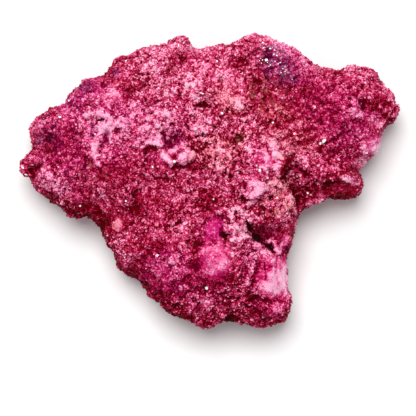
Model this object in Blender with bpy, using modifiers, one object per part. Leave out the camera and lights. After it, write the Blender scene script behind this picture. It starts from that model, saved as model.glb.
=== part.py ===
"""A ruby-pink druse: a hand specimen of grown-together crystals, lying on its broken back.

The specimen formed as one piece, so it is one solid. Its crystal face looks up (+Z), the end that
is uppermost in the hand points to +Y, and the origin is the middle of its footprint on the ground.
All the sizes below are in millimetres, and the model is built in metres.
"""

import math

import bmesh
import bpy
import numpy as np
from mathutils import Euler, Matrix, Vector, noise

MM = 0.001

# The slab that the outline is extruded to, before its face and its back are shaped
RIM_HEIGHT = 7.5  # from the ground to the widest line round the edge
SLAB_HALF = 6.0
CURVE_STEPS = 3
COARSE_GRID = 0.7
FINE_GRID = 0.62
WELD = 0.001
EDGE_ROUND = 4.2  # width of the rounding, from the edge inwards
EDGE_WALL = 0.34  # share of the height at the edge that stands upright
EDGE_INSET = 0.55  # room inside the outline for the grains that stand out from the wall

# The face, above the widest line
FACE_AT_RIM = 8.4
FACE_RISE = 6.2
FACE_SHOULDER = 13.0  # from the edge to where the face is at its full height

# The back, below the widest line. What would reach below the ground is broken off flat
BACK_AT_RIM = 5.2
BACK_DROP = 3.6
BACK_SHOULDER = 9.0

# Uneven rises and dents: how wide they are, layers of finer ones, shift of the pattern, height
FACE_SWELL = (11.0, 3, 4.0, 1.3)
BACK_SWELL = (8.0, 4, 31.0, 1.5)
WALL_DENTS = (5.0, 3, 9.0, 0.9)
GRAIN = (1.5, 2, 17.0, 0.26)

# Rounded nodules side by side, all over
NODULE_SPACING = 2.6
NODULE_REACH = 0.62  # from a nodule's middle to its foot, as a share of the spacing
NODULE_HEIGHT = 0.55
NODULES_UNDERNEATH = 0.45  # share of that height on the sides that face down

CRYSTALS = 175
CRYSTAL_SMALLEST = 1.2
CRYSTAL_LARGEST = 2.5
CRYSTAL_SPREAD = 2.1
CRYSTAL_SINK = 0.32  # share of a crystal's size by which its middle lies under the surface
CRYSTAL_FACING = 0.12  # crystals grow where the surface looks up at least this much
CALCITE_ANGLE = 78.0  # between a rhombohedron's edges, in degrees
MOST_TRIANGLES = 5300  # of the mass without its crystals
CUT_TOLERANCE = 1e-6
SEED = 12

RASPBERRY = (0.43, 0.03, 0.095, 1.0)

# The edge as seen from above, clockwise from the nub at the left end
OUTLINE = (
    # the left end and its upper edge
    (-42.5, 4.7), (-40.6, 6.8), (-39.8, 7.9), (-40.4, 10.4), (-40.2, 13.3), (-39.3, 14.5), (-37.2, 15.1),
    (-35.6, 16.4), (-32.5, 17.7), (-31.7, 19.4), (-29.7, 21.5), (-26.6, 23.4), (-23.2, 24.3), (-22.4, 25.7),
    # along the top, over the small knob
    (-20.9, 28.1), (-17.6, 29.0), (-15.4, 30.2), (-9.8, 31.1), (-8.7, 31.8), (-6.2, 32.7), (-4.7, 32.5),
    (-4.1, 30.9), (-2.3, 30.3), (1.8, 31.1), (4.5, 31.4), (6.7, 32.0), (8.5, 33.1), (9.9, 33.5),
    # the shoulder and the right lobe
    (11.7, 32.6), (13.8, 32.8), (15.4, 32.0), (18.9, 30.4), (22.3, 28.0), (24.6, 25.9), (30.2, 25.9),
    (31.6, 26.5), (35.1, 26.0), (37.8, 24.7), (39.7, 22.3), (41.1, 20.7), (41.9, 17.8), (42.5, 16.7),
    (41.9, 14.2), (40.5, 12.7), (39.3, 12.2), (38.8, 9.5), (38.0, 7.0), (35.8, 5.4), (34.7, 3.8),
    # the notch, the lower right lobe and the step inwards
    (33.5, 3.2), (34.5, 1.4), (34.8, -1.4), (33.1, -3.4), (29.3, -4.1), (26.8, -3.7), (24.3, -5.4),
    (21.2, -6.0), (19.8, -7.9), (19.6, -10.6), (18.8, -13.7), (17.3, -16.9), (17.8, -19.8), (17.3, -23.4),
    # round the bottom
    (18.7, -27.2), (17.3, -30.6), (14.2, -32.4), (10.6, -32.9), (7.0, -31.6), (4.3, -31.6), (1.4, -32.8),
    (-1.4, -33.4), (-4.3, -31.7), (-7.9, -29.9), (-10.4, -29.0), (-11.0, -27.2), (-13.1, -26.3),
    # back up the lower left edge
    (-14.0, -23.9), (-16.9, -21.4), (-19.8, -19.8), (-21.6, -16.7), (-23.6, -12.2), (-25.2, -9.6),
    (-27.2, -8.3), (-29.9, -8.1), (-34.2, -5.5), (-36.5, -3.6), (-39.2, -1.4), (-40.1, 0.5),
    (-39.5, 1.8), (-41.6, 1.4),
)

# Lumps on the face: middle x and y, half-length along x and y, height
MOUND_EXPONENT = 1.35
LUMPS = {
    "shoulder hump": (14.9, 26.3, 6.5, 5.0, 2.6),
    "top hump": (9.9, 31.0, 3.0, 2.4, 1.4),
    "top knob": (-5.6, 31.2, 1.6, 1.8, 1.8),
    "upper middle": (-3.2, 21.8, 3.2, 2.2, 1.1),
    "upper left ridge": (-11.0, 25.2, 2.0, 3.2, 1.3),
    "upper left hump": (-26.8, 18.4, 5.0, 3.2, 1.3),
    "left crust": (-22.3, 14.2, 3.6, 2.0, 1.2),
    "left block": (-33.5, 2.7, 6.0, 4.5, 1.6),
    "pale rib": (-11.7, 9.4, 1.3, 3.4, 1.5),
    "popcorn": (-7.0, 5.4, 2.5, 1.6, 1.8),
    "centre block": (10.6, 4.0, 6.5, 6.2, 2.8),
    "lip": (13.6, 7.4, 2.2, 2.8, 1.0),
    "centre pale knob": (9.4, -1.6, 2.4, 2.2, 1.3),
    "upper pale knob": (6.3, 17.8, 2.6, 2.1, 1.3),
    "right middle": (30.6, 16.4, 5.2, 4.6, 1.8),
    "right lobe": (34.2, 22.4, 5.6, 3.8, 1.8),
    "right pale rim": (37.0, 8.3, 2.4, 3.0, 0.8),
    "lower right lobe": (28.6, 1.2, 6.2, 2.6, 2.4),
    "block over the hollow": (15.2, -7.8, 4.2, 3.0, 3.0),
    "pale cheek": (14.9, -20.8, 3.4, 4.6, 1.8),
    "bottom right lobe": (14.9, -28.6, 4.0, 2.8, 1.6),
    "smooth patch": (0.9, -18.0, 3.6, 3.6, 1.7),
    "stained patch": (1.3, -11.4, 2.4, 2.8, 0.8),
    "lower left lobe": (-18.2, -14.4, 4.2, 5.0, 2.2),
    "lower middle": (-9.9, -18.8, 5.2, 5.2, 1.9),
    "bottom knob one": (-9.0, -27.6, 2.1, 1.9, 1.4),
    "bottom knob two": (-3.8, -30.2, 2.0, 1.8, 1.3),
    "bottom knob three": (-0.9, -27.0, 2.4, 2.2, 1.2),
}

# Hollows and pits in the face: middle x and y, half-length along x and y, depth
HOLLOWS = {
    "centre hollow": (-8.3, 9.9, 2.7, 2.1, 2.2),
    "slit under the rib": (-12.8, 7.0, 2.2, 1.0, 1.8),
    "round pit": (-20.7, 11.4, 0.9, 1.0, 1.3),
    "long pit": (-23.2, 9.8, 0.9, 1.5, 1.3),
    "left pit": (-25.6, 13.6, 1.3, 1.0, 1.0),
    "left dip": (-36.2, 9.4, 2.4, 2.6, 1.2),
    "behind the nub": (-39.6, 3.3, 0.9, 2.0, 3.0),
    "upper hollow": (-0.6, 17.2, 2.0, 1.4, 1.5),
    "crevice": (-0.9, 10.8, 2.2, 0.6, 1.5),
    "middle pit": (7.0, 9.9, 1.8, 1.2, 1.6),
    "upper dip": (6.5, 27.4, 2.3, 2.1, 2.6),
    "under the knob": (-7.0, 27.9, 1.9, 1.5, 2.0),
    "glassy hole": (13.3, 28.6, 1.2, 1.3, 1.8),
    "right cavity": (34.8, 17.4, 0.9, 1.6, 2.2),
    "under the lip": (18.6, 3.0, 2.0, 3.2, 1.6),
    "dark cavity": (11.4, -11.9, 2.3, 1.2, 4.0),
    "second cavity": (13.9, -14.3, 1.5, 0.8, 3.5),
    "bottom cavity": (4.9, -30.4, 1.5, 0.8, 2.2),
    "knobby pit": (3.6, -11.9, 1.1, 0.9, 1.6),
    "lower pit": (-2.9, -18.4, 1.8, 1.6, 1.5),
    "second lower pit": (-3.2, -14.2, 1.4, 1.2, 1.4),
    "under the cheek": (11.4, -26.2, 3.0, 0.8, 1.8),
    "brown dip": (-18.9, 19.4, 3.0, 1.7, 1.4),
    "edge dip": (-23.2, 22.4, 1.5, 1.2, 1.2),
    "small pit": (-5.9, 17.5, 0.9, 0.8, 1.6),
    "slot": (-9.5, 24.0, 0.9, 1.5, 1.3),
    "right bowl": (23.5, 16.5, 6.5, 6.0, 2.0),
    "left bowl": (-31.0, 8.5, 3.6, 4.6, 1.4),
}

# Cliffs across the face: the line, the drop on its right-hand side, how far out the floor rises again
LEDGE = ((19.3, -5.2), (17.8, -2.0), (16.2, 2.2), (16.9, 5.6), (15.6, 7.6))
CLIFFS = {
    "beside the centre block": (LEDGE, -3.6, 6.0),
    "across the middle": (((-14.4, -7.8), (-13.9, -5.0), (-14.9, -1.0)), -2.4, 6.0),
    "lower right wall": (((26.0, 0.2), (29.4, 0.9), (33.2, -0.6)), -1.8, 6.0),
    "under the cheek": (((11.0, -25.2), (14.2, -25.6), (17.6, -25.0)), -1.6, 3.5),
    "over the dark cavity": (((8.6, -9.6), (12.2, -9.7), (15.6, -11.4)), -1.6, 4.0),
}
CLIFF_WIDTH = 0.9
CLIFF_END = 2.0

# How much farther out the picture shows the face, which is nearer the camera than the edge
FACE_SPREAD = 1.018

# Furrows across the face: the line, half-width, depth
FURROWS = {
    "long furrow": (((-14.6, -2.4), (-16.0, -6.0), (-18.4, -8.6), (-19.4, -10.4)), 1.5, 2.4),
    "left furrow": (((-24.2, -4.6), (-24.8, -8.2)), 1.6, 2.2),
    "cheek slit": (((13.0, -19.0), (13.0, -22.4)), 0.5, 1.0),
}


def clear_scene():
    """Removes whatever the scene holds."""
    for obj in list(bpy.data.objects):
        bpy.data.objects.remove(obj)


def points_of(mesh):
    """A mesh's points as rows of x, y and z."""
    flat = np.empty(len(mesh.vertices) * 3)
    mesh.vertices.foreach_get("co", flat)
    return flat.reshape(-1, 3)


def set_points(mesh, points):
    mesh.vertices.foreach_set("co", points.ravel())
    mesh.update()


def normals_of(mesh):
    flat = np.empty(len(mesh.vertices) * 3)
    mesh.vertex_normals.foreach_get("vector", flat)
    return flat.reshape(-1, 3)


def smoothstep(low, high, value):
    share = np.clip((value - low) / (high - low), 0.0, 1.0)
    return share * share * (3.0 - 2.0 * share)


def nearest_on_line(points, line, closed=False):
    """Distance of each point to a line of straight runs, and whether it lies to the line's right."""
    ends = np.array(line)
    starts, stops = (ends, np.roll(ends, -1, axis=0)) if closed else (ends[:-1], ends[1:])
    nearest = np.full(len(points), np.inf)
    right = np.zeros(len(points))
    for start, stop in zip(starts, stops):
        run = stop - start
        share = np.clip((points - start) @ run / (run @ run), 0.0, 1.0)
        offset = points - (start + share[:, None] * run)
        distance = np.hypot(offset[:, 0], offset[:, 1])
        side = np.sign(run[1] * (points - start)[:, 0] - run[0] * (points - start)[:, 1])
        closer = distance < nearest
        nearest = np.where(closer, distance, nearest)
        right = np.where(closer, side, right)
    return nearest, right


def beyond_ends(points, line):
    """How far each point lies past either end of a line, measured along its end runs."""
    beyond = np.zeros(len(points))
    for end, inner in ((line[0], line[1]), (line[-1], line[-2])):
        outward = np.subtract(end, inner)
        beyond = np.maximum(beyond, (points - end) @ outward / np.hypot(*outward))
    return beyond


def unevenness(points, width, layers, offset, height):
    """Fractal noise of about that height either way, one value for each point."""
    shift = Vector((offset, -offset, offset))
    return height * np.array([noise.fractal(Vector(p) / width + shift, 1.0, 2.0, layers) for p in points])


def nodules_at(points, size):
    """Rounded cells packed side by side: 1 in the middle of each, falling to 0 in the gaps between them."""
    gaps = np.array([noise.voronoi(Vector(p) / size)[0][0] for p in points])
    return np.sqrt(np.clip(1.0 - (gaps / NODULE_REACH) ** 2, 0.0, 1.0))


def mound(points, centre_x, centre_y, half_x, half_y):
    """A smooth mound: 1 at its middle, 0.37 at its half-lengths, fading out beyond."""
    reach = ((points[:, 0] - centre_x) / half_x) ** 2 + ((points[:, 1] - centre_y) / half_y) ** 2
    return np.exp(-(reach**MOUND_EXPONENT))


def face_relief(points):
    """How far the face stands above or below its plain height at each x and y."""
    points = points * FACE_SPREAD
    relief = np.zeros(len(points))
    for line, drop, recovery in CLIFFS.values():
        distance, right = nearest_on_line(points, line)
        outside = smoothstep(0.0, CLIFF_WIDTH, distance * right)
        faded = np.exp(-((distance / recovery) ** 2) - (beyond_ends(points, line) / CLIFF_END) ** 2)
        relief += drop * outside * faded
    for line, half_width, depth in FURROWS.values():
        distance, _ = nearest_on_line(points, line)
        relief -= depth * np.exp(-((distance / half_width) ** 2))
    for centre_x, centre_y, half_x, half_y, height in LUMPS.values():
        relief += height * mound(points, centre_x, centre_y, half_x, half_y)
    for centre_x, centre_y, half_x, half_y, depth in HOLLOWS.values():
        relief -= depth * mound(points, centre_x, centre_y, half_x, half_y)
    return relief


def new_object(name, data, collection):
    obj = bpy.data.objects.new(name, data)
    collection.objects.link(obj)
    return obj


def baked(obj, collection):
    """A plain mesh object in place of obj and its modifiers."""
    bpy.context.view_layer.update()
    graph = bpy.context.evaluated_depsgraph_get()
    mesh = bpy.data.meshes.new_from_object(obj.evaluated_get(graph))
    name = obj.name
    bpy.data.objects.remove(obj)
    return new_object(name, mesh, collection)


def weld(mesh):
    """Joins the points that lie on each other, such as those of a curve's caps and its sides."""
    bm = bmesh.new()
    bm.from_mesh(mesh)
    bmesh.ops.remove_doubles(bm, verts=bm.verts, dist=WELD)
    bm.to_mesh(mesh)
    bm.free()


def regridded(obj, size, collection):
    """The same shape on an even grid."""
    grid = obj.modifiers.new("even grid", "REMESH")
    grid.mode = "VOXEL"
    grid.voxel_size = size
    return baked(obj, collection)


def slab_from_outline(collection):
    """The outline extruded to a slab with upright sides, in millimetres."""
    curve = bpy.data.curves.new("outline", "CURVE")
    curve.dimensions = "2D"
    curve.fill_mode = "BOTH"
    curve.extrude = SLAB_HALF
    spline = curve.splines.new("BEZIER")
    spline.bezier_points.add(len(OUTLINE) - 1)
    for knot, (x, y) in zip(spline.bezier_points, OUTLINE):
        knot.co = (x, y, 0.0)
        knot.handle_left_type = knot.handle_right_type = "AUTO"
    spline.use_cyclic_u = True
    spline.resolution_u = CURVE_STEPS
    slab = baked(new_object("slab", curve, collection), collection)
    weld(slab.data)
    return regridded(slab, COARSE_GRID, collection)


def shape_face_and_back(obj):
    """Raises the slab's top to the relief of the face, and its underside to the rough back."""
    points = points_of(obj.data)
    inside, _ = nearest_on_line(points[:, :2], OUTLINE, closed=True)
    level = points[:, 2] / SLAB_HALF
    rounding = np.sqrt(1.0 - (1.0 - np.clip(inside / EDGE_ROUND, 0.0, 1.0)) ** 2)
    level *= EDGE_WALL + (1.0 - EDGE_WALL) * rounding
    plan = points * (1.0, 1.0, 0.0)
    face = FACE_AT_RIM + FACE_RISE * smoothstep(0.0, FACE_SHOULDER, inside)
    face += unevenness(plan, *FACE_SWELL) + face_relief(plan[:, :2])
    back = BACK_AT_RIM + BACK_DROP * smoothstep(0.0, BACK_SHOULDER, inside)
    back += unevenness(plan, *BACK_SWELL)
    points[:, 2] = RIM_HEIGHT + np.where(level > 0.0, level * face, level * back)
    set_points(obj.data, points)


def roughen(obj):
    """Pushes the surface in and out: broad dents in the wall, nodules and grains all over."""
    points = points_of(obj.data)
    normals = normals_of(obj.data)
    steep = 1.0 - np.abs(normals[:, 2])
    upward = smoothstep(-0.4, 0.3, normals[:, 2])
    nodules = NODULE_HEIGHT * (nodules_at(points, NODULE_SPACING) - 0.5)
    push = nodules * (NODULES_UNDERNEATH + (1.0 - NODULES_UNDERNEATH) * upward)
    push += steep * (unevenness(points, *WALL_DENTS) - EDGE_INSET)
    push += unevenness(points, *GRAIN)
    set_points(obj.data, points + push[:, None] * normals)


def thinned(obj, most, collection):
    """The same shape in fewer triangles, more of them where it bends."""
    obj.data.calc_loop_triangles()
    fewer = obj.modifiers.new("fewer faces", "DECIMATE")
    fewer.ratio = most / len(obj.data.loop_triangles)
    fewer.use_collapse_triangulate = True
    return baked(obj, collection)


def rhomb_shear():
    """Turns a cube with edges of 1 into a rhombohedron, whose three edges lean towards +Z."""
    angle = math.radians(CALCITE_ANGLE)
    lean = math.asin(2.0 * math.sin(angle / 2.0) / math.sqrt(3.0))
    turns = [math.tau * third / 3.0 for third in range(3)]
    edges = [(math.sin(lean) * math.cos(t), math.sin(lean) * math.sin(t), math.cos(lean)) for t in turns]
    return Matrix(edges).transposed().to_4x4()


def add_crystal(bm, place, size, turn):
    """Adds one rhombohedral crystal."""
    matrix = Matrix.LocRotScale(place, turn, Vector((size, size, size))) @ rhomb_shear()
    bmesh.ops.create_cube(bm, size=1.0, matrix=matrix)


def crystals_on(obj, collection):
    """Crystals with flat faces, sunk in the face and spread evenly over it."""
    random = np.random.default_rng(SEED)
    points = points_of(obj.data)
    normals = normals_of(obj.data)
    facing_up = np.flatnonzero(normals[:, 2] > CRYSTAL_FACING)
    chosen = []
    for index in random.permutation(facing_up):
        gaps = np.linalg.norm(points[chosen] - points[index], axis=1)
        if np.all(gaps > CRYSTAL_SPREAD):
            chosen.append(index)
        if len(chosen) == CRYSTALS:
            break
    bm = bmesh.new()
    for index in chosen:
        size = CRYSTAL_SMALLEST + (CRYSTAL_LARGEST - CRYSTAL_SMALLEST) * random.random() ** 2
        place = Vector(points[index] - normals[index] * size * CRYSTAL_SINK)
        turn = Euler(random.uniform(0.0, math.tau, 3).tolist())
        add_crystal(bm, place, size, turn)
    mesh = bpy.data.meshes.new("crystals")
    bm.to_mesh(mesh)
    bm.free()
    return new_object("crystals", mesh, collection)


def fuse(obj, other):
    """Joins other to obj as one solid."""
    join = obj.modifiers.new("grown together", "BOOLEAN")
    join.operation = "UNION"
    join.object = other
    join.use_self = True


def break_off_flat(obj):
    """Cuts away what reaches below the ground, and closes the feet that are left with flat faces."""
    bm = bmesh.new()
    bm.from_mesh(obj.data)
    everything = bm.verts[:] + bm.edges[:] + bm.faces[:]
    ground = {"plane_co": (0.0, 0.0, 0.0), "plane_no": (0.0, 0.0, -1.0)}
    cut = bmesh.ops.bisect_plane(bm, geom=everything, dist=CUT_TOLERANCE, clear_outer=True, **ground)
    rim = [item for item in cut["geom_cut"] if isinstance(item, bmesh.types.BMEdge)]
    bmesh.ops.triangle_fill(bm, edges=rim, use_beauty=True, normal=(0, 0, -1))
    bmesh.ops.recalc_face_normals(bm, faces=bm.faces)
    bm.to_mesh(obj.data)
    bm.free()


def settle(obj):
    """Puts the origin under the middle of the footprint, and turns millimetres to metres."""
    points = points_of(obj.data)
    middle = (points.min(axis=0) + points.max(axis=0)) / 2.0
    middle[2] = 0.0
    set_points(obj.data, (points - middle) * MM)


def stone_material():
    material = bpy.data.materials.new("ruby druse")
    material.use_nodes = True
    shader = material.node_tree.nodes["Principled BSDF"]
    shader.inputs["Base Color"].default_value = RASPBERRY
    shader.inputs["Roughness"].default_value = 0.4
    shader.inputs["Metallic"].default_value = 0.0
    return material


def build():
    clear_scene()
    collection = bpy.data.collections.new("ruby specimen")
    bpy.context.scene.collection.children.link(collection)
    stone = slab_from_outline(collection)
    shape_face_and_back(stone)
    stone = regridded(stone, FINE_GRID, collection)
    roughen(stone)
    crystals = crystals_on(stone, collection)
    stone = thinned(stone, MOST_TRIANGLES, collection)
    fuse(stone, crystals)
    stone = baked(stone, collection)
    bpy.data.objects.remove(crystals)
    break_off_flat(stone)
    settle(stone)
    stone.name = "ruby_specimen"
    stone.data.materials.clear()
    stone.data.materials.append(stone_material())


build()
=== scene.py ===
"""A ruby-pink druse, dressed: a lumpy stone crusted all over with sugary crystals, on a pale floor.

The stone is a finer, rougher copy of the plain solid. Crystals of several sizes are strewn over it,
and listed patches make its crests pale and its hollows deep crimson, partly as painted light and shade, and
one shoulder violet.
Sizes and places are in millimetres, in the frame of the plain solid: +X to the right in the
picture, +Y to its top, +Z up out of the crystal face.
"""

import logging
import math
from collections.abc import Callable, Mapping
from dataclasses import dataclass, field
from enum import Enum
from typing import Any

import bmesh
import bpy
import numpy as np
from mathutils import Matrix, Vector, noise


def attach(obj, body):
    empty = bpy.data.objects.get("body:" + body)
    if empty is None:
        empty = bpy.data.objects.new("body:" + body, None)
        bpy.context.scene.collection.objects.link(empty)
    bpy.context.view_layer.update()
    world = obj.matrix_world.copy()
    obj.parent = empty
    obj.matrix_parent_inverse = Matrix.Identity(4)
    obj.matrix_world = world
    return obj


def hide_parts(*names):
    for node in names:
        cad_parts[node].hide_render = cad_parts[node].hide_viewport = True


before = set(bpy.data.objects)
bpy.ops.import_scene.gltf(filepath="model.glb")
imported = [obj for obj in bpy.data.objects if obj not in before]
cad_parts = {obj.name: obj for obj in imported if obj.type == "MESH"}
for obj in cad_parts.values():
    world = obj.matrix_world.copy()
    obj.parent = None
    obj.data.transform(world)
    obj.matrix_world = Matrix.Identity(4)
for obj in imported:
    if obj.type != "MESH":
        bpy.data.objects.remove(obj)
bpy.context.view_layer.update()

log = logging.getLogger("ruby_specimen")

MM = 0.001
NODE = "ruby_specimen"
BODY = "root"

# The camera: where it aims, and how high above that it hangs
AIM = (-0.28, -5.9, 7.5)
CAMERA_HEIGHT = 700.0

Colour = tuple[float, float, float, float]


class Shade(Enum):
    """What a patch changes in the stone's look. The value is the name of its attribute."""

    # how pale: the stone's own tone together with painted light and shade
    TONE = "tone"
    MAGENTA = "magenta"
    VIOLET = "violet"
    PEACH = "peach"
    OCHRE = "ochre"
    # near-black painted shade in the deepest hollows
    HOLLOW_SHADE = "soot"
    POWDER = "powder"
    GLASSY = "glassy"
    FROTH = "froth"


class Cover(Enum):
    """Where a layer of crystals grows. The value is the name of the attribute that says how densely."""

    SUGAR = "sugar_cover"
    GLASSY = "glassy_cover"


class Habit(Enum):
    """A crystal's form."""

    RHOMB = "rhomb"
    CORNER = "corner"


class Draw(Enum):
    """What a random number decides of a crystal. The value is added to the layer's seed."""

    SIZE = 1
    HEIGHT = 2
    TINT = 3
    LEAN_X = 4
    LEAN_Y = 5
    SPIN = 6
    GLEAM = 7


@dataclass(frozen=True)
class Step:
    """An S-shaped step from 0 at low to 1 at high.

    Attributes:
        low: Where the step starts.
        high: Where it ends. It may be less than low, for a step down.
    """

    low: float
    high: float

    def at(self, value: np.ndarray) -> np.ndarray:
        """The step at each value."""
        share = np.clip((value - self.low) / (self.high - self.low), 0.0, 1.0)
        return share * share * (3.0 - 2.0 * share)


@dataclass(frozen=True)
class Swells:
    """Fractal noise in about -1 to 1.

    Attributes:
        width: How wide its widest swells are.
        layers: How many layers of ever finer noise it has.
        shift: Moves the pattern, so that two uses differ.
    """

    width: float
    layers: int
    shift: float

    def at(self, points: np.ndarray) -> np.ndarray:
        """The noise at each row of x, y and z."""
        offset = Vector((self.shift, -self.shift, self.shift))
        places = (Vector(point) / self.width + offset for point in points)
        return np.array([noise.fractal(place, 1.0, 2.0, self.layers) for place in places])


@dataclass(frozen=True)
class Cells:
    """Distance to the nearest of a jittered set of cell middles, in cell widths.

    Attributes:
        width: How far apart the middles are.
        shift: Moves the pattern, so that two uses differ.
    """

    width: float
    shift: float

    def at(self, points: np.ndarray) -> np.ndarray:
        """The distance at each row of x, y and z."""
        offset = Vector((self.shift, self.shift, -self.shift))
        places = (Vector(point) / self.width + offset for point in points)
        return np.array([noise.voronoi(place)[0][0] for place in places])


@dataclass(frozen=True)
class Oval:
    """An oval on the face.

    Attributes:
        x: Middle, to the right.
        y: Middle, upwards in the picture.
        half_x: Half-length along its own x.
        half_y: Half-length along its own y.
        turn: Anticlockwise turn, in degrees.
    """

    x: float
    y: float
    half_x: float
    half_y: float
    turn: float = field(default=0.0, kw_only=True)

    def reach(self, plan: np.ndarray) -> np.ndarray:
        """How far out each row of x and y lies: 0 in the middle and 1 on the oval."""
        angle = math.radians(self.turn)
        east = plan[:, 0] - self.x
        north = plan[:, 1] - self.y
        along = (east * math.cos(angle) + north * math.sin(angle)) / self.half_x
        across = (north * math.cos(angle) - east * math.sin(angle)) / self.half_y
        return np.hypot(along, across)


@dataclass(frozen=True)
class Patch(Oval):
    """An oval where the look differs.

    Attributes:
        amount: How strongly it acts. For the tone, less than 0 is darker.
        lace: How far the grain of the crust breaks it up, from 0 to 1.
    """

    amount: float
    lace: float = field(default=0.3, kw_only=True)


@dataclass(frozen=True)
class Form(Oval):
    """A small lump or pit of the face.

    Attributes:
        height: How far it stands out, which is negative in a pit.
    """

    height: float


@dataclass(frozen=True)
class Strand:
    """A crooked thread of the crust, or a slit where its height is negative.

    Attributes:
        line: Its corners, as x and y.
        half_width: How far it reaches to each side.
        height: How far it stands out.
        tone: How much paler it is; the negative tone of a slit is painted shade.
    """

    line: tuple[tuple[float, float], ...]
    half_width: float
    height: float
    tone: float

    def reach(self, plan: np.ndarray) -> np.ndarray:
        """How far out each row of x and y lies: 0 on the line and 1 at its half-width."""
        nearest = np.full(len(plan), np.inf)
        for start, stop in zip(self.line[:-1], self.line[1:]):
            run = np.subtract(stop, start)
            share = np.clip((plan - start) @ run / (run @ run), 0.0, 1.0)
            offset = plan - (start + share[:, None] * run)
            nearest = np.minimum(nearest, np.hypot(offset[:, 0], offset[:, 1]))
        return nearest / self.half_width
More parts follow.
